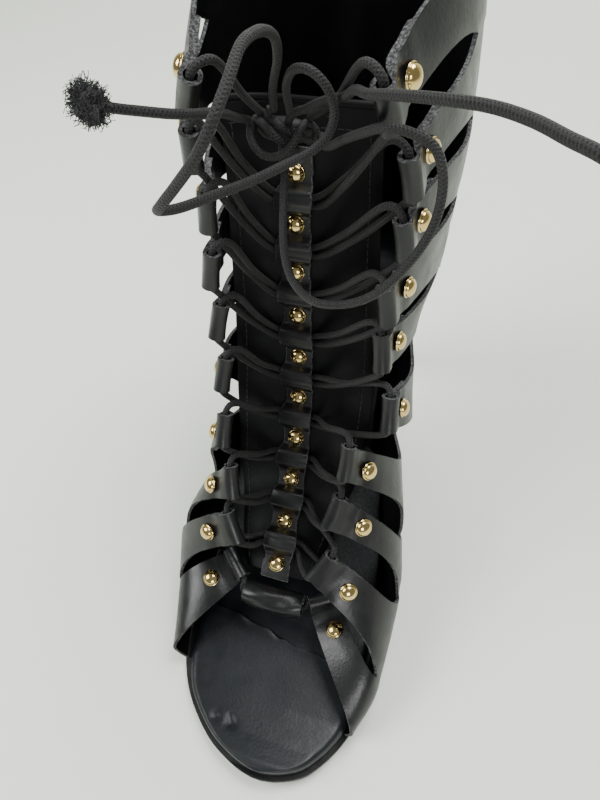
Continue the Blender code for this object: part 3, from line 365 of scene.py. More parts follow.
def add_bevel(thing, width, material=-1, angle=50.0, segments=2):
    """Soft edges; 'material' is their slot, or -1 for that of the faces beside."""
    bevel = thing.modifiers.new("soft_edges", "BEVEL")
    bevel.width = width * MM
    bevel.segments = segments
    bevel.limit_method = "ANGLE"
    bevel.angle_limit = math.radians(angle)
    bevel.harden_normals = False
    bevel.material = material


def loft(rings, close_ends=True):
    """Points and faces of a body through rings with equal counts of points."""
    count, last = len(rings[0]), len(rings) - 1
    points = [p for ring in rings for p in ring]
    faces = [(r * count + i, r * count + (i + 1) % count,
              (r + 1) * count + (i + 1) % count, (r + 1) * count + i)
             for r in range(last) for i in range(count)]
    if close_ends:
        faces.append(tuple(range(count)))
        faces.append(tuple(range(last * count, (last + 1) * count)))
    return points, faces


SKEW = (0.31, 0.17, 0.93)  # a direction that no cord starts in


def tube(route, radius, sides):
    """Round cord along a route: points, faces and a UV per corner (u in mm, v round)."""
    route = np.asarray(route, float)
    radii = np.broadcast_to(np.asarray(radius, float), (len(route),))
    tangents = np.gradient(route, axis=0)
    tangents /= np.linalg.norm(tangents, axis=1, keepdims=True)
    run = running(route)
    normal = unit(np.cross(tangents[0], SKEW))
    rings = []
    for point, tangent, r in zip(route, tangents, radii):
        normal = unit(normal - tangent * normal.dot(tangent))
        binormal = np.cross(tangent, normal)
        rings.append([point + r * (math.cos(a) * normal + math.sin(a) * binormal)
                      for a in full_turn(sides)])
    points, faces = loft(rings)
    uvs = [(run[ring + up], (i + on) / sides) for ring in range(len(route) - 1)
           for i in range(sides) for up, on in ((0, 0), (0, 1), (1, 1), (1, 0))]
    return points, faces, uvs + [(0.0, 0.0)] * (2 * sides)


def join_parts(parts):
    """Several (points, faces, uvs) bodies as one."""
    points, faces, uvs = [], [], []
    for more_points, more_faces, more_uvs in parts:
        offset = len(points)
        points += list(more_points)
        faces += [tuple(offset + i for i in face) for face in more_faces]
        uvs += list(more_uvs)
    return points, faces, uvs


# ---- sole lines ----
def sole_outline():
    """Closed smooth outline of the sole in plan, anticlockwise from the toe tip."""
    ys = column(SOLE_OUTLINE, "y")
    right = list(zip(column(SOLE_OUTLINE, "medial"), ys))
    left = list(zip(-column(SOLE_OUTLINE, "lateral"), ys))
    points = [TOE_TIP] + right + [HEEL_BACK] + left[::-1]
    return smooth_route([(x, y, 0.0) for x, y in points], closed=True, pieces=10)[:, :2]


OUTLINE = sole_outline()
OUTLINE_CACHE = {}


def inset_outline(inset):
    """Both halves of the outline moved inward, as rising y against x."""
    if inset not in OUTLINE_CACHE:
        along = np.roll(OUTLINE, -1, axis=0) - np.roll(OUTLINE, 1, axis=0)
        along /= np.linalg.norm(along, axis=1, keepdims=True)
        moved = OUTLINE + inset * np.stack([-along[:, 1], along[:, 0]], axis=1)
        moved = np.roll(moved, -int(np.argmin(moved[:, 1])), axis=0)
        back = int(np.argmax(moved[:, 1]))
        medial = moved[:back + 1]
        lateral = np.vstack([moved[back:], moved[:1]])[::-1]
        OUTLINE_CACHE[inset] = {MEDIAL: medial, LATERAL: lateral}
    return OUTLINE_CACHE[inset]


def outline_x(side, y, inset=0.0):
    """x of the sole's edge at y, moved inward."""
    half = inset_outline(inset)[side]
    return float(np.interp(y, half[:, 1], half[:, 0]))


def insole_x(side, y):
    """x of the padded sock's edge, which steps inward where the upper stands."""
    toe, rear = (outline_x(side, y, inset) for inset in INSOLE_INSET)
    t = np.clip((y - INSOLE_INSET_Y[0]) / (INSOLE_INSET_Y[1] - INSOLE_INSET_Y[0]), 0, 1)
    return toe + (rear - toe) * float(t * t * (3 - 2 * t))


END_MARGIN = 0.12          # from the outline's tips to the first and last section
CROWDING = 0.62


def sole_stations(front_inset, back_inset, count=30):
    """y of the cross sections, closer together at the two rounded ends."""
    tip = inset_outline(front_inset)[MEDIAL][0, 1] + END_MARGIN
    back = inset_outline(back_inset)[MEDIAL][-1, 1] - END_MARGIN
    t = np.linspace(0, math.pi, count)
    fine = (1 - np.cos(t)) / 2
    even = t / math.pi
    return tip + (back - tip) * (CROWDING * fine + (1 - CROWDING) * even)


SOLE_CURVE = table_curve(SOLE_PROFILE, "bottom")
SOLE_Y = sole_stations(0.0, 0.0)
SOLE_Z = np.array([float(SOLE_CURVE(y)) for y in SOLE_Y])


def sole_bottom(y):
    """Height of the sole's underside."""
    return float(np.interp(y, SOLE_Y, SOLE_Z))


def sole_lean(y):
    """Length along the sole for one millimetre in plan."""
    return math.hypot(1.0, (float(SOLE_CURVE(y + 2)) - float(SOLE_CURVE(y - 2))) / 4)


SOLE_TOP_Z = SOLE_Z + np.array([SOLE_THICKNESS * sole_lean(y) for y in SOLE_Y])


def sole_top(y):
    """Height of the sole's upper face."""
    return float(np.interp(y, SOLE_Y, SOLE_TOP_Z))


def insole_top(y):
    """Height of the sock away from its rounded edge."""
    return sole_top(y) + BASE_CLEARANCE + INSOLE_THICKNESS * sole_lean(y)


HEEL_SIDES = 64


def heel_ring(middle_y, half_length, half_width):
    """Round back with a straighter breast at the front."""
    ring = []
    for i in range(HEEL_SIDES):
        a = 2 * math.pi * (i + 0.5) / HEEL_SIDES
        y = math.cos(a)
        if y < 0:
            y = -abs(y) ** 1.6
        x = math.sin(a)
        ring.append((half_width * math.copysign(abs(x) ** 0.8, x), middle_y + half_length * y))
    return ring


# ---- quarters ----
QUARTER_CURVES = {side: {name: curve_through(range(STRAPS + 1), values)
                         for name, values in zip(QUARTER_COLUMNS, zip(*QUARTER[side]))}
                  for side in (MEDIAL, LATERAL)}
SECTION_STEPS = 60
RISE_PEAK = 0.1055         # greatest value of share * (1 - share) ** 3


def section(side, station):
    """One section line of a quarter, from throat to base, with its running length."""
    value = values_at(QUARTER_CURVES[side], station)
    half = value["bulge"]
    base_y = value["base_y"]
    if station < SEAM_STATION:
        base_x = abs(outline_x(side, base_y, UPPER_INSET))
        base_z = sole_top(base_y) + UPPER_CLEARANCE
    else:
        base_x = 0.0
        base_z = value["base_z"]
    base_x = min(base_x, half * 0.999)
    start = math.asin(value["throat_x"] / half)
    end = math.pi - math.asin(base_x / half)
    turn = np.linspace(start, end, SECTION_STEPS + 1)
    share = (math.cos(start) - np.cos(turn)) / (math.cos(start) - math.cos(end))
    reach = (half * np.sin(turn) - value["throat_x"]) / (half - value["throat_x"])
    plan = np.where(turn < math.pi / 2, np.clip(reach, 0, 1) ** 0.9, 1.0)
    hug = 1 + SHAFT_HUG * float(np.clip((station - 2.5) / 2, 0, 1))
    drawn_in = value["throat_x"] + (half - value["throat_x"]) * np.clip(reach, 0, 1) ** hug
    width = np.where(turn < math.pi / 2, drawn_in, half * np.sin(turn))
    share_y = share + (plan - share) * value["sweep"]
    lift = value["rise"] * share * (1 - share) ** 3 / RISE_PEAK
    line = np.stack([side * width,
                     value["throat_y"] + (base_y - value["throat_y"]) * share_y,
                     value["throat_z"] + (base_z - value["throat_z"]) * share + lift], axis=1)
    return line, running(line)


SECTION_CACHE = {}


def quarter_point(side, station, run):
    """Point of the quarter's outer face, 'run' millimetres along a section line."""
    key = (side, round(station, 5))
    if key not in SECTION_CACHE:
        SECTION_CACHE[key] = section(side, station)
    line, runs = SECTION_CACHE[key]
    return along_line(run, runs, line)


def section_length(side, station):
    """Whole length of a section line."""
    quarter_point(side, station, 0.0)
    return SECTION_CACHE[(side, round(station, 5))][1][-1]


def slit_length(side, station):
    """Length along a section line that the straps are apart."""
    return float(QUARTER_CURVES[side]["slit"](station))


def strap_station(side, strap, across, run):
    """Station of a point of a strap, drawn in from the slit on either side."""
    edge = strap - 1 + (1 if across > 0.5 else 0)
    if edge in (0, STRAPS):
        return strap - 1 + across
    t = run / slit_length(side, edge)
    if t >= 1:
        return strap - 1 + across
    middle_open = float(QUARTER_CURVES[side]["open"](edge))
    cut = (FOLD_CUT + middle_open * t) * (1 - t ** 4)
    return strap - 0.5 + (across - 0.5) * (1 - 2 * cut)


def fold_frame(side, strap):
    """Middle of a strap's fold, its axis, and the strap's tip and outward directions."""
    row = dict(zip(FOLD_COLUMNS, FOLDS[side][strap - 1]))
    middle = np.array([side * row["x"], row["y"], row["z"]])
    climb, spread = math.radians(row["climb"]), math.radians(row["spread"])
    axis = np.array([side * math.sin(spread), math.cos(spread) * math.cos(climb),
                     math.cos(spread) * math.sin(climb)])
    root = quarter_point(side, strap - 0.5, FOLD_AIM[strap >= HIGH_STRAPS])
    tip = middle - root
    tip = unit(tip - axis * tip.dot(axis))
    outward = np.cross(axis, tip)
    if outward[0] * side < 0:
        outward = -outward
    return middle, axis, tip, outward


FOLD_FRAMES = {(side, strap): fold_frame(side, strap)
               for side in (MEDIAL, LATERAL) for strap in range(1, STRAPS + 1)}


END_EASE = 1.5             # how soon a strap leaves the last's surface for its fold


def strap_point(side, strap, across, run):
    """Outer face of a strap; 'across' runs 0 to 1 from its lower to its upper edge."""
    base = quarter_point(side, strap_station(side, strap, across, run), run)
    slit = slit_length(side, strap - 1 + across)
    if run >= slit:
        return base
    middle, axis, _, outward = FOLD_FRAMES[side, strap]
    end = middle + axis * (across - 0.5) * STRAP_END + outward * FOLD_RADIUS
    away = end - quarter_point(side, strap_station(side, strap, across, 0.0), 0.0)
    return base + away * (1 - run / slit) ** END_EASE


def strap_normal(side, strap, across, run):
    """Outward normal of the strap or of the quarter behind it."""
    station = strap - 1 + across
    total = section_length(side, station)
    low, high = max(run - 1.0, 0.0), min(run + 1.0, total)
    along = strap_point(side, strap, across, high) - strap_point(side, strap, across, low)
    left, right = max(across - 0.06, 0.0), min(across + 0.06, 1.0)
    share = run / total
    run_left = share * section_length(side, strap - 1 + left)
    run_right = share * section_length(side, strap - 1 + right)
    if run < slit_length(side, station):
        run_left = run_right = run
    width = (strap_point(side, strap, right, run_right)
             - strap_point(side, strap, left, run_left))
    return side * unit(np.cross(along, width))


STUD_POINTS = np.array(T_STUDS, float)


def extended_studs():
    """The stud line with one more pitch at the toe and two above."""
    first = STUD_POINTS[0] + 0.9 * (STUD_POINTS[0] - STUD_POINTS[1]) + np.array([0, 0, -1.5])
    last = 2 * STUD_POINTS[-1] - STUD_POINTS[-2] + np.array([0.2, -1.6, 0.5])
    far = 2 * last - STUD_POINTS[-1]
    return np.vstack([first, STUD_POINTS, last, far])


FRONT_CURVES = [curve_through(np.arange(0, 13), extended_studs()[:, k]) for k in range(3)]


def front_line(along):
    """Seat line of the studs; 'along' counts them from the toe."""
    return np.array([float(curve(along)) for curve in FRONT_CURVES])


def front_normal(along):
    """Direction out of the T-strap, in the side view's plane."""
    ahead = front_line(along + 0.15) - front_line(along - 0.15)
    return unit((0.0, -ahead[2], ahead[1]))


TONGUE_CURVES = table_curves(TONGUE)


def tongue_point(along, across, depth):
    """Tongue surface: 'across' runs -1 to 1 from lateral to medial edge."""
    name = "medial" if across > 0 else "lateral"
    half = float(TONGUE_CURVES[name](along))
    drop = float(TONGUE_CURVES[name + "_drop"](along)) * abs(across) ** TONGUE_CURL
    point = front_line(along) + np.array([half * across, 0.0, 0.0])
    return point - front_normal(along) * (T_STRAP_THICKNESS + TONGUE_GAP + depth + drop)


LINING_CURVES = table_curves(VAMP_LINING)


def crossing_point(interval, shift=0.0):
    """Where the two strands cross below the T-strap, between two studs."""
    along = interval + 0.5 + shift
    return front_line(along) - front_normal(along) * (T_STRAP_THICKNESS - LACE_RADIUS - 0.05)


# ---- materials ----
class Nodes:
    """Short ways to add and link shader nodes."""

    def __init__(self, name):
        self.material = bpy.data.materials.new(name)
        self.material.use_nodes = True
        self.tree = self.material.node_tree
        self.shader = self.tree.nodes["Principled BSDF"]
        self.coords = self.tree.nodes.new("ShaderNodeTexCoord")

    def feed(self, node, values):
        """Give a node's inputs, by name or number, an output, a colour or a number."""
        for key, value in values.items():
            socket = node.inputs[key.replace("_", " ") if isinstance(key, str) else key]
            if isinstance(value, bpy.types.NodeSocket):
                self.tree.links.new(value, socket)
            elif value is not None:
                socket.default_value = (*value, 1.0) if isinstance(value, tuple) else value

    def set(self, **values):
        """Plain values on the shader's own sockets."""
        self.feed(self.shader, values)

    def add(self, kind, output, values, **settings):
        """Output of a new node with these inputs and settings."""
        node = self.tree.nodes.new("ShaderNode" + kind)
        for name, value in settings.items():
            setattr(node, name, value)
        self.feed(node, values)
        return node.outputs[output]

    def noise(self, scale, detail=3.0, roughness=0.55):
        """Cloudy noise over the piece."""
        return self.add("TexNoise", "Fac", {"Vector": self.coords.outputs["Object"],
                                            "Scale": scale, "Detail": detail,
                                            "Roughness": roughness})

    def cells(self, scale):
        """Distance from the middle of small cells."""
        return self.add("TexVoronoi", "Distance",
                        {"Vector": self.coords.outputs["Object"], "Scale": scale})

    def ramp(self, value, low, high, first=0.0, last=1.0):
        """Value mapped from low..high to first..last, clamped."""
        return self.add("MapRange", "Result", {"Value": value, "From Min": low,
                                               "From Max": high, "To Min": first, "To Max": last})

    def math(self, operation, a, b=None):
        """One operation on numbers or outputs."""
        return self.add("Math", "Value", {0: a, 1: b}, operation=operation)

    def mix(self, factor, first, second):
        """Colour between two colours or outputs."""
        return self.add("Mix", 2, {"Factor": factor, 6: first, 7: second}, data_type="RGBA")

    def bump(self, height, strength, distance, below=None):
        """Relief, on top of another relief if given."""
        return self.add("Bump", "Normal", {"Height": height, "Strength": strength,
                                           "Distance": distance, "Normal": below})

    def finish(self, colour=None, roughness=None, normal=None):
        """Link what was made to the shader, and hand over the material."""
        self.feed(self.shader, {"Base Color": colour, "Roughness": roughness, "Normal": normal})
        return self.material


GRAIN_DEPTH = 0.00012


def leather_material(name, dark, light, roughness, grain=900.0, waves=70.0, wave_depth=0.0005,
                     speck=0.0, shine=0.4):
    """Smooth leather: fine pebbles, soft waves, patchy shine and a little lint."""
    n = Nodes(name)
    patch = n.noise(28.0, 4.0)
    colour = n.mix(n.ramp(patch, 0.35, 0.7), dark, light)
    if speck:
        lint = n.ramp(n.noise(950.0, 1.0), 0.80, 0.83)
        colour = n.mix(n.math("MULTIPLY", lint, speck), colour, (0.22, 0.22, 0.23))
    rough = n.ramp(n.noise(160.0, 5.0), 0.3, 0.7, roughness - 0.06, roughness + 0.07)
    wave = n.bump(n.noise(waves, 2.0), 0.35, wave_depth)
    pores = n.bump(n.cells(grain), 0.25, GRAIN_DEPTH, wave)
    n.set(Specular_IOR_Level=shine)
    return n.finish(colour, rough, pores)


def grainy_material(name, dark, light, grain, spread, roughness, relief):
    """Matt stuff of two tones: grain is its noise, spread where the tones part.
    'relief' is the noise, the strength and the depth of its surface."""
    n = Nodes(name)
    colour = n.mix(n.ramp(n.noise(*grain), *spread), dark, light)
    n.set(Roughness=roughness)
    return n.finish(colour, None, n.bump(n.noise(*relief[0]), *relief[1:]))


BRAID_PITCH = 1.15   # ridges to a millimetre of cord
BRAID_LEAN = 5.0     # ridges round the cord


def cord_material():
    """Braided elastic: two families of slanting ridges round the cord, coloured with a painted
    highlight on the ridges and painted shade in the grooves.
    """
    n = Nodes("braided_elastic")
    along, around = (n.add("SeparateXYZ", axis, {"Vector": n.coords.outputs["UV"]})
                     for axis in "XY")
    turns = []
    for lean in (BRAID_LEAN, -BRAID_LEAN):
        phase = n.math("ADD", n.math("MULTIPLY", along, BRAID_PITCH),
                       n.math("MULTIPLY", around, lean))
        turns.append(n.math("SINE", n.math("MULTIPLY", phase, 2 * math.pi)))
    braid = n.math("MAXIMUM", turns[0], turns[1])
    lint = n.ramp(n.noise(2300.0, 3.0, 0.7), 0.35, 0.75)
    # Colour: painted highlight on the braid's ridges and painted shade between them, plus real
    # pale lint specks.
    painted_braid_light_and_lint = n.math("ADD", n.ramp(braid, -0.2, 1.0, 0.0, 0.6), n.math("MULTIPLY", lint, 0.4))
    colour = n.mix(painted_braid_light_and_lint, (0.0010, 0.0010, 0.0011), (0.020, 0.020, 0.0205))
    n.set(Roughness=0.55, Specular_IOR_Level=0.28, Sheen_Weight=0.04)
    fuzz = n.bump(lint, 0.35, 0.00015)
    return n.finish(colour, None, n.bump(braid, 0.6, 0.0002, fuzz))


def gold_material():
    """Polished brass-like plating, a little uneven."""
    n = Nodes("pale_gold")
    tint = n.mix(n.ramp(n.noise(90.0, 2.0), 0.35, 0.65), (0.60, 0.43, 0.16), (0.76, 0.60, 0.29))
    n.set(Metallic=1.0)
    rough = n.ramp(n.noise(700.0, 3.0), 0.35, 0.7, 0.10, 0.19)
    return n.finish(tint, rough, n.bump(n.noise(240.0, 2.0), 0.15, 0.0002))


def rubber_material(name, colour, roughness):
    """Dull black rubber with paler patches."""
    n = Nodes(name)
    tint = n.mix(n.noise(60.0, 4.0), colour, tuple(2.2 * c for c in colour))
    n.set(Specular_IOR_Level=0.2)
    rough = n.ramp(n.noise(300.0, 4.0), 0.3, 0.7, roughness - 0.08, roughness + 0.1)
    return n.finish(tint, rough, n.bump(n.noise(900.0, 3.0), 0.2, 0.0002))


LEATHER = leather_material("strap_leather", (0.0035, 0.0035, 0.004), (0.008, 0.0082, 0.009), 0.35,
                           speck=0.15)
SHAFT_INSIDE = leather_material("shaft_inside", (0.0025, 0.0025, 0.003), (0.005, 0.005, 0.0055),
                                0.42, grain=700.0, shine=0.15)
TONGUE_LEATHER = leather_material("tongue_leather", (0.0025, 0.0026, 0.003),
                                  (0.0055, 0.0057, 0.006), 0.50, waves=55.0, wave_depth=0.0009,
                                  speck=0.4, shine=0.14)
SOCK_LEATHER = leather_material("sock_leather", (0.006, 0.0075, 0.009), (0.014, 0.016, 0.018),
                                0.38, waves=90.0, wave_depth=0.0004, speck=0.15, shine=0.22)
EDGE = grainy_material("raw_edge", (0.010, 0.010, 0.011), (0.15, 0.15, 0.155),
                       (1500.0, 4.0, 0.7), (0.45, 0.68), 0.9, ((2200.0, 3.0), 0.5, 0.0002))
BACKING = grainy_material("grey_backing", (0.004, 0.0045, 0.005), (0.026, 0.028, 0.031),
                          (1100.0, 5.0, 0.75), (0.40, 0.70), 0.8,
                          ((1100.0, 5.0, 0.75), 0.6, 0.0004))
CORD = cord_material()
GOLD = gold_material()
THREAD = grainy_material("black_thread", (0.006, 0.006, 0.007), (0.03, 0.03, 0.032),
                         (1800.0, 2.0), (0.0, 1.0), 0.75, ((3000.0, 1.0), 0.3, 0.0001))
SOLE_RUBBER = rubber_material("sole_rubber", (0.0035, 0.0035, 0.004), 0.55)
TIP_RUBBER = rubber_material("tip_rubber", (0.004, 0.004, 0.004), 0.7)

# ---- camera, floor and light ----
CAMERA_PLACE = (47.55, -90.48, 253.47)
CAMERA_RIGHT = (0.9525, 0.3002, -0.0513)
CAMERA_UP = (-0.2025, 0.7500, 0.6297)
LENS = 27.04


def add_camera():
    """The photo's view."""
    data = bpy.data.cameras.new("camera")
    data.lens = LENS
    data.sensor_width = 36.0
    data.clip_start = 0.005
    camera = new_object("camera", data)
    right, up = unit(CAMERA_RIGHT), unit(CAMERA_UP)
    back = np.cross(right, up)
    turn = Matrix([(right[k], up[k], back[k]) for k in range(3)]).to_4x4()
    camera.matrix_world = Matrix.Translation(world(CAMERA_PLACE)) @ turn
    bpy.context.scene.camera = camera


# Name, place, aim, size, power and colour.
LIGHTS = (
    ("window", (-0.75, -0.35, 0.85), (0.0, 0.0, 0.08), (0.6, 0.6), 13.0, (0.98, 1.0, 0.98)),
    ("ceiling", (0.25, 0.35, 1.15), (0.0, 0.02, 0.08), (0.7, 0.5), 16.0, (1.0, 1.0, 1.0)),
    ("front", (0.45, -0.9, 0.55), (0.0, 0.0, 0.06), (0.4, 0.35), 5.5, (1.0, 1.0, 1.0)),
)


def add_light(name, place, aim, size, power, colour):
    """Soft rectangle of light."""
    data = bpy.data.lights.new(name, "AREA")
    data.shape = "RECTANGLE"
    data.size, data.size_y = size
    data.energy = power
    data.color = colour
    lamp = new_object(name, data)
    lamp.location = place
    lamp.rotation_euler = (Vector(aim) - Vector(place)).to_track_quat("-Z", "Y").to_euler()


def add_stage():
    """Pale floor that bends up into a wall, a dim sky and three soft lights."""
    size, wall, bend = 1.6, 0.9, 0.35
    rows = [(-size, 0.0), (wall - bend, 0.0)]
    rows += [(wall - bend + bend * math.sin(a), bend - bend * math.cos(a))
             for a in np.linspace(0.0, math.pi / 2, 14)[1:]]
    rows.append((wall, 1.5))
    points = [(x, y, z) for y, z in rows for x in (-size, size)]
    faces = [(2 * i, 2 * i + 1, 2 * i + 3, 2 * i + 2) for i in range(len(rows) - 1)]
    n = Nodes("pale_floor")
    n.set(Roughness=0.75, Specular_IOR_Level=0.2)
    tone = n.mix(n.noise(3.0, 2.0), (0.79, 0.82, 0.745), (0.83, 0.86, 0.775))
    new_object("floor", new_mesh("floor", points, faces, [n.finish(tone)]))
    sky = bpy.data.worlds.new("sky")
    bpy.context.scene.world = sky
    sky.use_nodes = True
    background = sky.node_tree.nodes["Background"]
    background.inputs["Color"].default_value = (0.97, 1.0, 0.97, 1.0)
    background.inputs["Strength"].default_value = 0.30
    for light in LIGHTS:
        add_light(*light)


add_camera()
add_stage()

# ---- cords ----
CORD_SIDES = 12


def cord_piece(name, parts, material=CORD):
    """Tubes joined as one piece of the lace."""
    data, faces, uvs = join_parts(parts)
    piece = piece_from(name, data, faces, [material], None, 35.0, uvs, outward=False)
    return piece


def add_cord(name, pieces=()):
    """One free stretch of the lace."""
    points = CORD_ROUTES[name]
    route = even_steps(smooth_route(points), 1.0)
    cord = cord_piece(name + "_braid", [tube(route, LACE_RADIUS, CORD_SIDES)])
    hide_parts(name)


# The knot's turns, listed: two bands over the front, one round below, and the ends.
KNOT_TURNS = (
    ((-17.1, 65.7, 174.5), (-12.2, 60.4, 175.5), (-8.3, 58, 174.6), (-4.7, 58.9, 172.9),
     (-2.1, 61.8, 169.7)),
    ((-18.2, 62.9, 174), (-13.6, 58.5, 174.6), (-9.8, 55.9, 173), (-6.9, 56.4, 170.6),
     (-5.2, 59.7, 167.8)),
    ((-19, 61.5, 173.2), (-18, 57.8, 171.6), (-15, 54.4, 169.6), (-11.2, 53, 168.8),
     (-6.6, 53, 170.4), (-4, 54.4, 173.2), (-3.4, 57.9, 175), (-2.6, 62.1, 174.6),
     (-0.6, 63.3, 171.8), (-1.4, 61.9, 168.7)),
    ((-12.4, 60.6, 178.6), (-13.2, 60.6, 176.2), (-13.8, 62, 173)),
    ((-8.2, 60.5, 172.4), (-7, 60, 176.3), (-4.6, 58.9, 178.9), (-2, 57, 180.5)),
)
KNOT_CORE = (0.78 * KNOT_SIZE[0], 0.7 * KNOT_SIZE[1], 0.7 * KNOT_SIZE[2])   # half sizes
FRAY_CORE = (3.3, 2.6, 3.4)
FRAY_ROOTS = (3.0, 2.3, 3.1)
FRAY_FIBRES = 900


def lumpy_core(middle, sizes, reach, steps, sides, lumps=0.0):
    """Long ball along x: points, faces and UVs."""
    rings = []
    for t in np.linspace(-reach, reach, steps):
        size = math.sqrt(1 - t * t)
        rings.append([np.array(middle) + np.array(sizes)
                      * np.array([t, size * math.cos(a), size * math.sin(a)])
                      * (1 + lumps * (1.4 * math.sin(3 * a + 5 * t) + math.sin(7 * a - 9 * t)))
                      for a in full_turn(sides)])
    points, faces = loft(rings)
    return points, faces, [(0.0, 0.0)] * sum(len(face) for face in faces)


def add_knot():
    """The knot's turns over a core that fills the gaps between them."""
    parts = [tube(even_steps(smooth_route(turn), 0.8), LACE_RADIUS, CORD_SIDES)
             for turn in KNOT_TURNS]
    parts.append(lumpy_core(KNOT_MIDDLE, KNOT_CORE, 0.95, 12, 20))
    knot = cord_piece("lace_knot_turns", parts)
    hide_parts("lace_knot")
    return knot


def add_fray(end):
    """Dense clump of loose fibres where the braid has come undone."""
    middle = np.asarray(end, float)
    parts = [lumpy_core(middle, FRAY_CORE, 0.97, 14, 22, 0.10)]
    for _ in range(FRAY_FIBRES):
        way = unit(RNG.normal(0.0, 1.0, 3))
        start = middle + way * np.array(FRAY_ROOTS)
        curl = RNG.normal(0.0, 0.6, 3)
        reach = RNG.uniform(0.3, 1.5)
        tip = start + reach * way + curl
        bend = 0.5 * (start + tip) + RNG.normal(0.0, 0.45, 3)
        parts.append(tube([start, bend, tip, tip + RNG.normal(0.0, 0.5, 3)],
                          RNG.uniform(0.06, 0.11), 3))
    return cord_piece("lace_frayed_tip", parts, THREAD)


def add_bow():
    """The knot, both loops and both ends."""
    knot = add_knot()
    add_cord("lace_loop_lateral", [knot])
    add_cord("lace_loop_medial", [knot])
    add_cord("lace_end_lateral", [add_fray(CORD_ROUTES["lace_end_lateral"][-1])])
    add_cord("lace_end_medial")


add_bow()


def eyelet_way(side, strap, end, target):
    """Route out of one mouth of a fold: a small hump, then inward to the target."""
    middle, axis, _, _ = FOLD_FRAMES[side, strap]
    way = np.asarray(target) - middle
    inward = unit(way - axis * way.dot(axis))
    reach = STRAP_END / 2
    points = [middle + end * axis * (reach - 3.0), middle + end * axis * (reach + 0.4)]
    if end < 0:
        return points + [middle - axis * (reach + 2.0) + inward * 1.6]
    return points + [middle + axis * (reach + 2.6) + inward * far for far in (1.6, 5.0)]


CROSSING_REACH = 6.6       # from a crossing to just outside the T-strap


def lacing_route(first_side):
    """One strand, from the roll to a top fold, with the slack curves of soft elastic."""
    side = first_side
    x, y, z = ROLL["middle"]
    first, axis, _, _ = FOLD_FRAMES[side, 1]
    mouth = np.array([x + side * (ROLL["half_length"] + 1.0), y + 1.0, z - 0.2])
    points = [np.array(ROLL["middle"]), mouth, first - axis * (STRAP_END / 2 + 0.9)]
    for strap in range(1, STRAPS):
        cross = crossing_point(strap)
        climb = unit(crossing_point(strap, 0.1) - crossing_point(strap, -0.1))
        out = front_normal(strap + 0.5)
        leave = eyelet_way(side, strap, 1, cross)
        arrive = eyelet_way(-side, strap + 1, -1, cross)[::-1]
        offset = np.array([side * CROSSING_REACH, 0.0, 0.0])
        from_edge = cross + offset + 1.5 * climb + 0.5 * out
        to_edge = cross - offset - 1.5 * climb + 0.3 * out
        slack = 0.8 + 0.2 * strap
        half_leave = 0.5 * (leave[-1] + from_edge) + 1.0 * out - 0.4 * slack * climb
        half_arrive = 0.5 * (arrive[0] + to_edge) - 0.2 * out - slack * climb
        points += leave + [half_leave, from_edge, cross, to_edge, half_arrive] + arrive
        side = -side
    knot = np.array(KNOT_MIDDLE) + np.array([side * 7.0, 1.0, KNOT_SIZE[2] - 1.5])
    leave = eyelet_way(side, STRAPS, 1, knot)
    sag = 0.5 * (leave[-1] + knot) + np.array([0.0, 2.2, -2.5])
    return points + leave + [sag, knot]


def add_lacing():
    """Both strands as one piece."""
    routes = [even_steps(smooth_route(lacing_route(side)), 1.2) for side in (MEDIAL, LATERAL)]
    lacing = cord_piece("lace_strands", [tube(route, LACE_RADIUS, CORD_SIDES) for route in routes])
    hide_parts("lace")


add_lacing()

# ---- upper ----
CELLS = 10                       # columns across a strap
HEAD_RUNS = (0.0, 1.25, 2.5, 3.7)
DOUBLED_RUNS = (5.5, 7.5, 9.5, 11.5, 13.4, FOLD_TAIL)
SLIT_SHARES = (0.0, 0.15, 0.3, 0.45, 0.6, 0.75, 0.87, 0.95, 1.0)
TAIL_SHARES = tuple(np.linspace(0.0, 1.0, 15)[1:])
JOINED = len(HEAD_RUNS) - 1      # first row with a face of its own on the inside
DOUBLED_END = JOINED + len(DOUBLED_RUNS)
SLIT_ROW = DOUBLED_END + len(SLIT_SHARES)
ARC = np.radians(np.linspace(90.0, -190.0, 17))
OUTER, INNER, RAW = 0, 1, 2
PINCH_DEPTH, PINCH_RUN = 0.75, 6.2   # where a strap closes behind its fold
EDGE_BEVEL = 0.24
GROOVE = 0.28                        # between the two leathers of a doubled end

# Creases: middle in the last's frame, half sizes and depth.
CREASES = (
    (36, 70, 120, (16, 20, 2.6), 0.7), (-34, 72, 118, (16, 22, 2.6), 0.8),
    (36, 84, 134, (16, 22, 2.8), 0.5), (-34, 88, 133, (16, 22, 3), 0.55),
    (38, 96, 150, (18, 26, 3.5), 0.4), (-35, 98, 152, (18, 26, 3.5), 0.4),
    (43, 2, 24, (14, 3, 14), 0.5), (-36, 6, 24, (14, 3, 14), 0.5),
)


def fine_runs(side, station):
    """Running lengths of the upper's rows, from a strap's fold to its base."""
    total = section_length(side, station)
    slit = slit_length(side, station)
    start = FOLD_TAIL + 0.25
    runs = list(HEAD_RUNS) + list(DOUBLED_RUNS)
    runs += [start + (slit - start) * t for t in SLIT_SHARES]
    return runs + [slit + (total - slit) * t for t in TAIL_SHARES]


LAST_ROW = len(fine_runs(MEDIAL, 0.0)) - 1


def crease(side, strap, across, run, point):
    """Soft creases, as millimetres along the normal."""
    depth = -PINCH_DEPTH * math.exp(-((run - PINCH_RUN) / 1.9) ** 2)
    depth += 0.14 * math.exp(-((run - 9.8) / 2.2) ** 2) * math.sin(5.0 * across + strap)
    if run > 16.0:
        sag = math.exp(-((run - 40.0) / 16.0) ** 2)
        depth += 0.35 * sag * math.sin(2.1 * strap + 0.11 * run)
    for x, y, z, size, drop in CREASES:
        if x * side > 0:
            gap = np.linalg.norm((point - np.array((x, y, z))) / np.array(size))
            if gap < 2.5:
                depth -= drop * math.exp(-gap * gap * 1.6)
    return depth


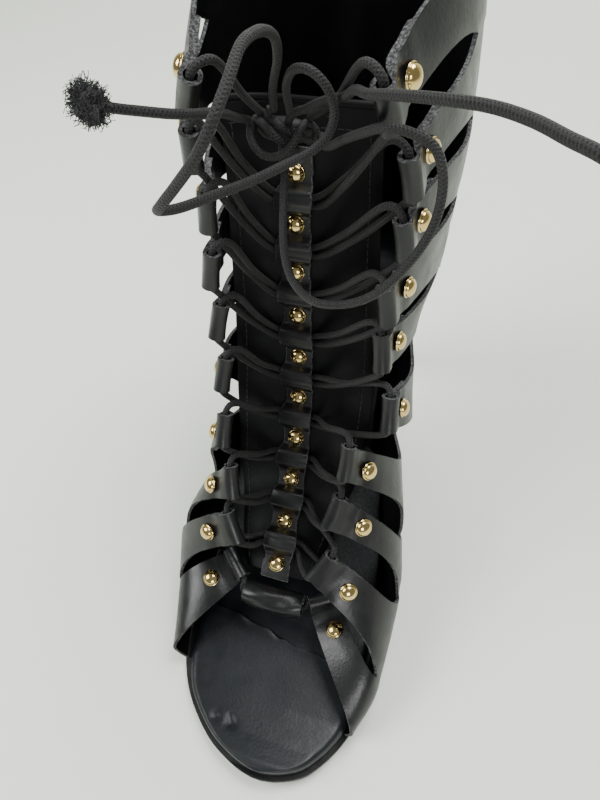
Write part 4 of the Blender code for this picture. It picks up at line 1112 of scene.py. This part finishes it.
class Shell:
    """The upper's points by name, with a material for every face."""

    def __init__(self):
        self.points, self.faces, self.kinds, self.index = [], [], [], {}

    def point(self, key, position):
        """Index of the named point, made when it is new."""
        if key not in self.index:
            self.index[key] = len(self.points)
            self.points.append(np.array(position, float))
        return self.index[key]

    def face(self, kind, *corners):
        """A face without its doubled corners, if three are left."""
        ring = [c for i, c in enumerate(corners) if c != corners[i - 1]]
        if len(ring) >= 3:
            self.faces.append(tuple(ring))
            self.kinds.append(kind)


def shell_key(side, strap, cell, row):
    """Name of a point: neighbours share those past the slit, both sides the seam's."""
    station = strap - 1 + cell / CELLS
    if row == LAST_ROW and station >= SEAM_STATION:
        return ("seam", round(station, 3))
    if row >= SLIT_ROW and cell == CELLS and strap < STRAPS:
        return (side, strap + 1, 0, row)
    return (side, strap, cell, row)


def add_strap(shell, side, strap):
    """A strap with its share of the quarter: both faces, cut edges and fold."""
    out, inside, middle_line = [], [], []
    for cell in range(CELLS + 1):
        across = cell / CELLS
        outers, inners, mids = [], [], []
        for row, run in enumerate(fine_runs(side, strap - 1 + across)):
            key = shell_key(side, strap, cell, row)
            outer = strap_point(side, strap, across, run)
            normal = strap_normal(side, strap, across, run)
            if key[0] == "seam":
                outer[0] = 0.0
                normal = unit((0.0, normal[1], normal[2]))
            outer = outer + normal * crease(side, strap, across, run, outer)
            doubled = JOINED <= row <= DOUBLED_END
            outers.append(shell.point(("out",) + key, outer))
            depth = 2 * WALL if doubled else WALL
            inners.append(shell.point(("in",) + key, outer - depth * normal))
            mids.append(None)
            if doubled and cell in (0, CELLS):
                inward = strap_point(side, strap, 0.5, run) - outer
                mids[-1] = shell.point(("mid",) + key,
                                       outer - WALL * normal + GROOVE * unit(inward))
        out.append(outers)
        inside.append(inners)
        middle_line.append(mids)
    for cell in range(CELLS):
        for row in range(LAST_ROW):
            shell.face(OUTER, out[cell][row], out[cell + 1][row],
                       out[cell + 1][row + 1], out[cell][row + 1])
            if row >= JOINED:
                kind = OUTER if row < DOUBLED_END else INNER
                kind = RAW if row == DOUBLED_END else kind
                shell.face(kind, inside[cell][row], inside[cell + 1][row],
                           inside[cell + 1][row + 1], inside[cell][row + 1])
    add_fold(shell, side, strap, out, inside)
    edges = ((0, SLIT_ROW if strap > 1 else LAST_ROW),
             (CELLS, SLIT_ROW if strap < STRAPS else LAST_ROW))
    for cell, last in edges:
        outer, inner, mid = out[cell], inside[cell], middle_line[cell]
        for row in range(JOINED, last):
            if mid[row] is not None and mid[row + 1] is not None:
                shell.face(RAW, outer[row], outer[row + 1], mid[row + 1], mid[row])
                shell.face(RAW, mid[row], mid[row + 1], inner[row + 1], inner[row])
            else:
                groove = () if mid[row] is None else (mid[row],)
                shell.face(RAW, outer[row], outer[row + 1], inner[row + 1], inner[row], *groove)
    if strap <= SEAM_STATION:
        for cell in range(CELLS):
            shell.face(RAW, out[cell][LAST_ROW], out[cell + 1][LAST_ROW],
                       inside[cell + 1][LAST_ROW], inside[cell][LAST_ROW])


def add_fold(shell, side, strap, out, inside):
    """The strap's end turned round the lace, open at both ends."""
    middle, axis, tip, outward = FOLD_FRAMES[side, strap]
    bore = FOLD_RADIUS - WALL
    closing = list(np.radians((162.0, 146.0, 126.0, 106.0)))
    rims, bores = [], []
    for cell in range(CELLS + 1):
        across = cell / CELLS
        centre = middle + axis * (across - 0.5) * STRAP_END
        squeeze = 1.0 - 0.10 * math.sin(math.pi * across)
        rim = [out[cell][0]]
        for step, angle in enumerate(ARC[1:], 1):
            radius = FOLD_RADIUS * (squeeze if step < len(ARC) - 3 else 1.0)
            spot = centre + radius * (math.cos(angle) * tip + math.sin(angle) * outward)
            rim.append(shell.point(("rim", side, strap, cell, step), spot))
        rim += [inside[cell][JOINED]] + [out[cell][row] for row in range(JOINED, 0, -1)]
        hole = []
        for step, angle in enumerate(list(ARC) + closing):
            spot = centre + bore * (math.cos(angle) * tip + math.sin(angle) * outward)
            hole.append(shell.point(("bore", side, strap, cell, step), spot))
        rims.append(rim)
        bores.append(hole)
    count = len(rims[0])
    for cell in range(CELLS):
        for step in range(len(ARC)):
            shell.face(OUTER, rims[cell][step], rims[cell][step + 1],
                       rims[cell + 1][step + 1], rims[cell + 1][step])
        for step in range(count):
            after = (step + 1) % count
            shell.face(INNER, bores[cell][step], bores[cell][after],
                       bores[cell + 1][after], bores[cell + 1][step])
    for cell in (0, CELLS):
        for step in range(count):
            after = (step + 1) % count
            shell.face(RAW, rims[cell][step], rims[cell][after],
                       bores[cell][after], bores[cell][step])


def add_upper():
    """All the straps and quarters as one welded shell."""
    shell = Shell()
    for side in (MEDIAL, LATERAL):
        for strap in range(1, STRAPS + 1):
            add_strap(shell, side, strap)
    upper = piece_from("caged_upper", shell.points, shell.faces, [LEATHER, SHAFT_INSIDE, EDGE],
                       indices=shell.kinds)
    add_bevel(upper, EDGE_BEVEL, RAW, 55.0)
    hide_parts("upper")


add_upper()

# ---- tongue ----
TONGUE_ROWS, TONGUE_COLUMNS = 90, 34
TONGUE_ENDS = (TONGUE["rows"][0][0], TONGUE["rows"][-1][0])
BINDING_RADIUS = 1.25


def tongue_surface(along, across):
    """Upper face of the tongue with its soft quilting and creases."""
    point = tongue_point(along, across, 0.0)
    out = front_normal(along)
    puff = 0.5 * (1 - across ** 4)
    wave = 0.22 * math.sin(3.1 * along + 1.2 * across) * (1 - across * across)
    wave += 0.16 * math.sin(7.3 * along - 2.3 * across)
    edge = -0.5 * math.exp(-((1 - abs(across)) / 0.05) ** 2)
    return point + out * (puff + wave + edge - 0.35)


def add_tongue():
    """The padded tongue, its rows closer together at the edges."""
    rings = []
    spots = np.sin(np.linspace(-math.pi / 2, math.pi / 2, TONGUE_COLUMNS))
    spots = 0.5 * spots + 0.5 * np.linspace(-1, 1, TONGUE_COLUMNS)
    for along in np.linspace(*TONGUE_ENDS, TONGUE_ROWS):
        above = [tongue_surface(along, t) for t in spots]
        below = [tongue_point(along, t, TONGUE_THICKNESS) for t in spots]
        rings.append(above + below[::-1])
    tongue = piece_from("padded_tongue", *loft(rings), [TONGUE_LEATHER], smooth_angle=60.0)
    add_bevel(tongue, 0.35, segments=3)
    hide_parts("tongue")


# A stitch by share of its length and height over the leather.
STITCH_ARCH = ((0.0, -0.12), (0.12, 0.10), (0.5, 0.18), (0.88, 0.10), (1.0, -0.12))


def stitch_run(line, pitch=2.6, length=1.9, radius=0.17):
    """Separate stitches along a line of (point, normal)."""
    points = np.array([p for p, _ in line])
    normals = np.array([n for _, n in line])
    run = running(points)
    parts = []
    for start in np.arange(0.4, run[-1] - length, pitch):
        route = []
        for share, up in STITCH_ARCH:
            s = start + length * share
            route.append(along_line(s, run, points) + up * unit(along_line(s, run, normals)))
        parts.append(tube(route, radius, 6))
    return parts


def add_tongue_trim():
    """Rolled binding along the top edge and rows of black stitching."""
    roll = [tongue_point(TONGUE_ENDS[1] + 0.04, t, 0.6 * TONGUE_THICKNESS)
            for t in np.linspace(-1.02, 1.02, 60)]
    data, faces, _ = tube(roll, BINDING_RADIUS, 14)
    binding = piece_from("tongue_binding", data, faces, [TONGUE_LEATHER], None, 35.0,
                         outward=False)
    rows = [[(a, t) for a in np.linspace(0.95, 10.9, 160)] for t in (-0.86, 0.86)]
    rows.append([(10.83, t) for t in np.linspace(-0.9, 0.9, 60)])
    parts = []
    for row in rows:
        parts += stitch_run([(tongue_surface(a, t), front_normal(a)) for a, t in row])
    data, faces, _ = join_parts(parts)
    stitches = piece_from("tongue_stitches", data, faces, [THREAD], None, 35.0, outward=False)


add_tongue()
add_tongue_trim()

# ---- vamp lining ----
LINING_ROWS = 26


def lining_line(along, depth):
    """Arch of the lining from the sock over the foot to the sock again."""
    value = values_at(LINING_CURVES, along)
    below = TONGUE_THICKNESS + 2 * GAP + depth
    halves = []
    for side, word in ((LATERAL, "lateral"), (MEDIAL, "medial")):
        crown = tongue_point(along, 0.0, below)
        shoulder = tongue_point(along, side * 0.55, below)
        edge = tongue_point(along, side, below + 0.2)
        base = np.array([side * (value["base_" + word] - depth), value["base_y"],
                         insole_top(value["base_y"]) + BASE_CLEARANCE])
        belly = 0.45 * edge + 0.55 * base
        belly[0] = side * (value[word + "_belly"] - depth)
        halves.append(list(smooth_route([crown, shoulder, edge, belly, base], pieces=8)))
    return halves[0][::-1] + halves[1][1:]


def add_lining():
    """Arched backing between the lower tongue and the sock."""
    rings = []
    for along in np.linspace(VAMP_LINING["rows"][0][0], VAMP_LINING["rows"][-1][0], LINING_ROWS):
        rings.append(lining_line(along, 0.0) + lining_line(along, LINING_THICKNESS)[::-1])
    lining = piece_from("vamp_backing", *loft(rings), [BACKING], smooth_angle=60.0)
    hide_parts("vamp_lining")


add_lining()

# ---- T-strap and roll ----
T_STRAP_COLUMNS = 11
CUT = 1                    # slot of the cut edges' material, after the leather's
LIFT_START, LIFT_REACH = 2.9, 2.9    # from a stud to the rise, and up to its top
PUCKER = 0.14


def soft_lift(along):
    """The T-strap's rise over the lace, with rounded shoulders and a few puckers."""
    if along < 1.0 or along > 10.0:
        return 0.0
    base = math.floor(along)
    pitch = float(np.linalg.norm(front_line(base + 0.999) - front_line(base)))
    from_stud = abs(along - round(along)) * pitch
    reach = np.clip((from_stud - LIFT_START) / LIFT_REACH, 0.0, 1.0)
    pucker = PUCKER * math.sin(2.2 * from_stud + 1.7 * base) * reach
    return T_STRAP_LIFT * float(reach * reach * (3 - 2 * reach)) + pucker


def add_t_strap():
    """Narrow strap, waisted at its studs and raised over the lace between them."""
    rings = []
    stations = list(np.linspace(0.62, 1.0, 6))
    for stud in range(1, 10):
        stations += list(stud + np.linspace(0.0, 1.0, 23)[1:])
    stations += list(np.linspace(10.0, 10.5, 9)[1:])
    for along in stations:
        normal = front_normal(along)
        lift = soft_lift(along)
        waist = 0.45 * math.cos(2 * math.pi * along)
        half = T_STRAP_WIDTH / 2 + 0.1 * lift - waist * (1.0 if 1 < along < 10 else 0.0)
        lean = 0.25 * math.sin(5.3 * along)
        middle = front_line(along) + np.array([lean, 0.0, 0.0])
        above, below = [], []
        for t in np.linspace(-1, 1, T_STRAP_COLUMNS):
            crown = 0.35 * (1 - t * t) * lift / T_STRAP_LIFT - 0.12 * abs(t) ** 3
            spot = middle + np.array([half * t, 0.0, 0.0])
            above.append(spot + normal * (lift + crown))
            below.append(spot + normal * (lift - T_STRAP_THICKNESS))
        rings.append(above + below[::-1])
    points, faces = loft(rings)
    count = len(rings[0])
    cut_edges = (T_STRAP_COLUMNS - 1, count - 1)
    kinds = [CUT if i in cut_edges else 0 for _ in rings[1:] for i in range(count)] + [0, 0]
    strap = piece_from("centre_strap", points, faces, [LEATHER, EDGE], indices=kinds)
    add_bevel(strap, EDGE_BEVEL, CUT)
    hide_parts("t_strap")


ROLL_SIDES, ROLL_RINGS = 40, 30


def add_roll():
    """Leather rolled round the lace, with its overlap seam below."""
    x, y, z = ROLL["middle"]
    rings_out, rings_in = [], []
    for t in np.linspace(-1, 1, ROLL_RINGS):
        swell = 1.0 - 0.10 * t ** 6 - 0.05 * math.exp(-(t / 0.35) ** 2)
        centre = np.array([x + t * ROLL["half_length"], y + 1.2 * t * t, z - 0.6 * t * t])
        out, inner = [], []
        for a in full_turn(ROLL_SIDES):
            dent = 0.25 * math.sin(2 * a + 3.0 * t) + 0.14 * math.sin(5 * a + 4.1 * t)
            step = 0.45 * (math.atan2(math.sin(a + 2.2), math.cos(a + 2.2)) / math.pi)
            radius = ROLL["radius"] * swell + dent + 0.4 * step
            ray = np.array([0.0, math.cos(a), math.sin(a)])
            out.append(centre + radius * ray)
            inner.append(centre + (ROLL["bore"] + 0.4 * step) * ray)
        rings_out.append(out)
        rings_in.append(inner)
    points, faces = loft(rings_out, close_ends=False)
    offset = len(points)
    more, more_faces = loft(rings_in, close_ends=False)
    points += more
    faces += [tuple(offset + i for i in face) for face in more_faces]
    kinds = [0] * len(faces)
    for first in (0, (ROLL_RINGS - 1) * ROLL_SIDES):
        for i in range(ROLL_SIDES):
            a, b = first + i, first + (i + 1) % ROLL_SIDES
            faces.append((a, b, offset + b, offset + a))
            kinds.append(CUT)
    roll = piece_from("rolled_loop", points, faces, [LEATHER, EDGE], indices=kinds)
    add_bevel(roll, 0.25, CUT)
    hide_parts("vamp_roll")


add_t_strap()
add_roll()

# ---- studs ----
STUD_SIDES = 32


def stud_dome():
    """Domed nail head with a thin flange, standing on z = 0, in metres."""
    profile = [(2.95, 0.0), (STUD_RADIUS, 0.12), (STUD_RADIUS, 0.32), (3.0, 0.45),
               (DOME_RADIUS, FLANGE_HEIGHT)]
    for turn in 0.5 * math.pi * np.linspace(0.06, 1.0, 11)[:-1]:
        profile.append((DOME_RADIUS * math.cos(turn), FLANGE_HEIGHT + DOME_RISE * math.sin(turn)))
    points = [(0.0, 0.0, 0.0)]
    for r, z in profile:
        points += [(r * math.cos(a), r * math.sin(a), z) for a in full_turn(STUD_SIDES)]
    points.append((0.0, 0.0, FLANGE_HEIGHT + DOME_RISE))
    last = 1 + (len(profile) - 1) * STUD_SIDES
    faces = []
    for i in range(STUD_SIDES):
        j = (i + 1) % STUD_SIDES
        faces.append((0, 1 + j, 1 + i))
        faces += [(a + i, a + j, a + STUD_SIDES + j, a + STUD_SIDES + i)
                  for a in range(1, last, STUD_SIDES)]
        faces.append((last + i, last + j, len(points) - 1))
    return new_mesh("stud_dome", np.array(points) * MM, faces, [GOLD])


def add_stud(name, mesh, seat, normal):
    """A dome on its seat, for the CAD stud of that name."""
    stud = new_object(name.replace("stud", "dome"), mesh)
    stud.location = world(seat + 0.05 * normal)
    stud.rotation_euler = Vector(normal).to_track_quat("Z", "Y").to_euler()
    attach(stud, "root")
    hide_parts(name)


def add_studs():
    """Ten down the T-strap and one on every strap."""
    mesh = stud_dome()
    for stud in range(1, STRAPS + 1):
        add_stud(f"stud_front_{stud:02d}", mesh, front_line(stud), front_normal(stud))
    for side, word in ((MEDIAL, "medial"), (LATERAL, "lateral")):
        for strap in range(1, STRAPS + 1):
            setback = FOLDS[side][strap - 1][-1]
            seat = strap_point(side, strap, 0.5, setback)
            normal = strap_normal(side, strap, 0.5, setback)
            add_stud(f"stud_{word}_{strap:02d}", mesh, seat, normal)


add_studs()

# ---- sock, sole and heel ----
FINE_STATIONS = 140

# Rear lip of the smooth leather over the toe part of the sock.
LIP_LINE = ((-40.0, -17.0), (-27.1, -17.3), (-23.2, -17.9), (-14.0, -18.6), (-8.0, -20.4),
            (-3.6, -21.0), (-0.1, -21.2), (2.4, -22.6), (5.0, -23.7), (7.2, -23.3), (9.3, -24.1),
            (14.0, -24.9), (20.0, -25.2), (26.3, -26.0), (46.0, -27.5))
# Scuffs at the toe: middle, size and depth.
SOCK_DENTS = ((-8.8, -56.8, 1.5, 0.5), (-2.4, -57.0, 1.9, 0.7), (-3.6, -55.2, 1.0, 0.4),
              (6.0, -40.0, 9.0, 0.25))
SOCK_ROUNDING = 2.6        # width of the sock's rounded edge
COVER_FACES = (0.55, -0.15)   # the toe cover's two faces over the sock


def sock_height(x, y):
    """Top of the padded sock at a point in plan."""
    left, right = insole_x(LATERAL, y), insole_x(MEDIAL, y)
    half, middle = (right - left) / 2, (left + right) / 2
    s = np.clip((x - middle) / half, -1, 1)
    full = INSOLE_THICKNESS * sole_lean(y) * min(1.0, 0.7 + half / 40)
    fall = min((1 - abs(s)) * half / SOCK_ROUNDING, 1.0)
    height = full * (0.45 + 0.55 * math.sqrt(1 - (1 - fall) ** 2)) + 0.35 * (1 - s * s)
    for dx, dy, size, drop in SOCK_DENTS:
        gap = math.hypot(x - dx, y - dy) / size
        height -= drop * math.exp(-gap * gap)
    return sole_top(y) + BASE_CLEARANCE + height


def sock_x(y, share):
    """x at a share, -1 to 1, of the sock's width."""
    left, right = insole_x(LATERAL, y), insole_x(MEDIAL, y)
    return (left + right) / 2 + (right - left) / 2 * share


def add_sock():
    """Padded sock with a rounded edge and the marks of wear at the toe."""
    rings = []
    for y in sole_stations(*INSOLE_INSET, count=FINE_STATIONS):
        bottom = sole_top(y) + BASE_CLEARANCE
        ring = [(insole_x(side, y), y, bottom) for side in (LATERAL, MEDIAL)]
        for s in np.linspace(1.0, -1.0, 37):
            x = sock_x(y, s)
            ring.append((x, y, sock_height(x, y)))
        rings.append(ring)
    sock = piece_from("padded_sock", *loft(rings), [SOCK_LEATHER], smooth_angle=60.0)
    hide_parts("insole")


def add_toe_cover():
    """Thin smooth leather glued over the toe of the sock, with a wavy cut lip behind."""
    lip = curve_through(*zip(*LIP_LINE))
    front = inset_outline(INSOLE_INSET[0])[MEDIAL][0, 1] + 0.8
    rings = []
    for t in np.linspace(0.0, 1.0, 70):      # from the toe's tip to the lip
        above, below = [], []
        for s in np.linspace(-0.985, 0.985, 61):
            y = front
            for _ in range(2):
                y = front + (float(lip(sock_x(y, s))) - front) * t
            x = sock_x(y, s)
            z = sock_height(x, y)
            curl = 0.35 * math.exp(-(1 - t) * 30) * (1 + 0.5 * math.sin(0.45 * x))
            above.append((x, y, z + COVER_FACES[0] + curl))
            below.append((x, y, z + COVER_FACES[1] + curl))
        rings.append(above + below[::-1])
    points, faces = loft(rings)
    kinds = [0] * (len(faces) - 1) + [CUT]   # the lip
    cover = piece_from("toe_sock_cover", points, faces, [SOCK_LEATHER, EDGE], indices=kinds)


def add_outsole():
    """Thin sole with softened edges."""
    rings = []
    for y in sole_stations(0.0, 0.0, count=FINE_STATIONS):
        left, right = outline_x(LATERAL, y), outline_x(MEDIAL, y)
        bottom, top = sole_bottom(y), sole_top(y)
        half = (right - left) / 2
        soft = min(0.7, 0.4 * half)
        corner = ((1.0, 0.0), (0.2, 0.3), (0.0, 0.8))   # inward and up, in parts of 'soft'
        low = [(soft * a, bottom + soft * b) for a, b in corner]
        rim = low + [(inward, bottom + top - z) for inward, z in low[::-1]]
        rings.append([(left + low[0][0], y, bottom)]
                     + [(right - inward, y, z) for inward, z in rim]
                     + [(left + inward, y, z) for inward, z in rim[:0:-1]])
    sole = piece_from("thin_outsole", *loft(rings), [SOLE_RUBBER])
    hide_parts("outsole")


def add_heel():
    """Covered heel up to the sole, and the rubber top piece below it."""
    shape = table_curves(HEEL)
    floor = HEEL_TIP + GAP
    seat = heel_ring(**values_at(shape, 0.0))
    heights = [sole_bottom(y) - GAP for _, y in seat]
    rings = []
    for drop in np.linspace(0.0, 1.0, 40):
        ring = heel_ring(**values_at(shape, drop))
        rings.append([(x, y, top + (floor - top) * drop) for (x, y), top in zip(ring, heights)])
    points, faces = loft(rings)
    middle = float(shape["middle_y"](0.0))
    points.append((0.0, middle, sole_bottom(middle) - GAP))
    faces.remove(tuple(range(HEEL_SIDES)))
    faces += [(i, (i + 1) % HEEL_SIDES, len(points) - 1) for i in range(HEEL_SIDES)]
    heel = piece_from("covered_heel", points, faces, [LEATHER])
    add_bevel(heel, 0.4)
    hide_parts("heel")
    middle_y, length, width = HEEL["rows"][-1][1:]
    rings = []
    for z, grow in ((0.0, 0.97), (0.4, 1.0), (HEEL_TIP - 0.3, 1.0), (HEEL_TIP, 0.98)):
        rings.append([(x, y, z) for x, y in heel_ring(middle_y, length * grow, width * grow)])
    tip = piece_from("heel_top_piece", *loft(rings), [TIP_RUBBER])
    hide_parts("heel_tip")


add_sock()
add_toe_cover()
add_outsole()
add_heel()
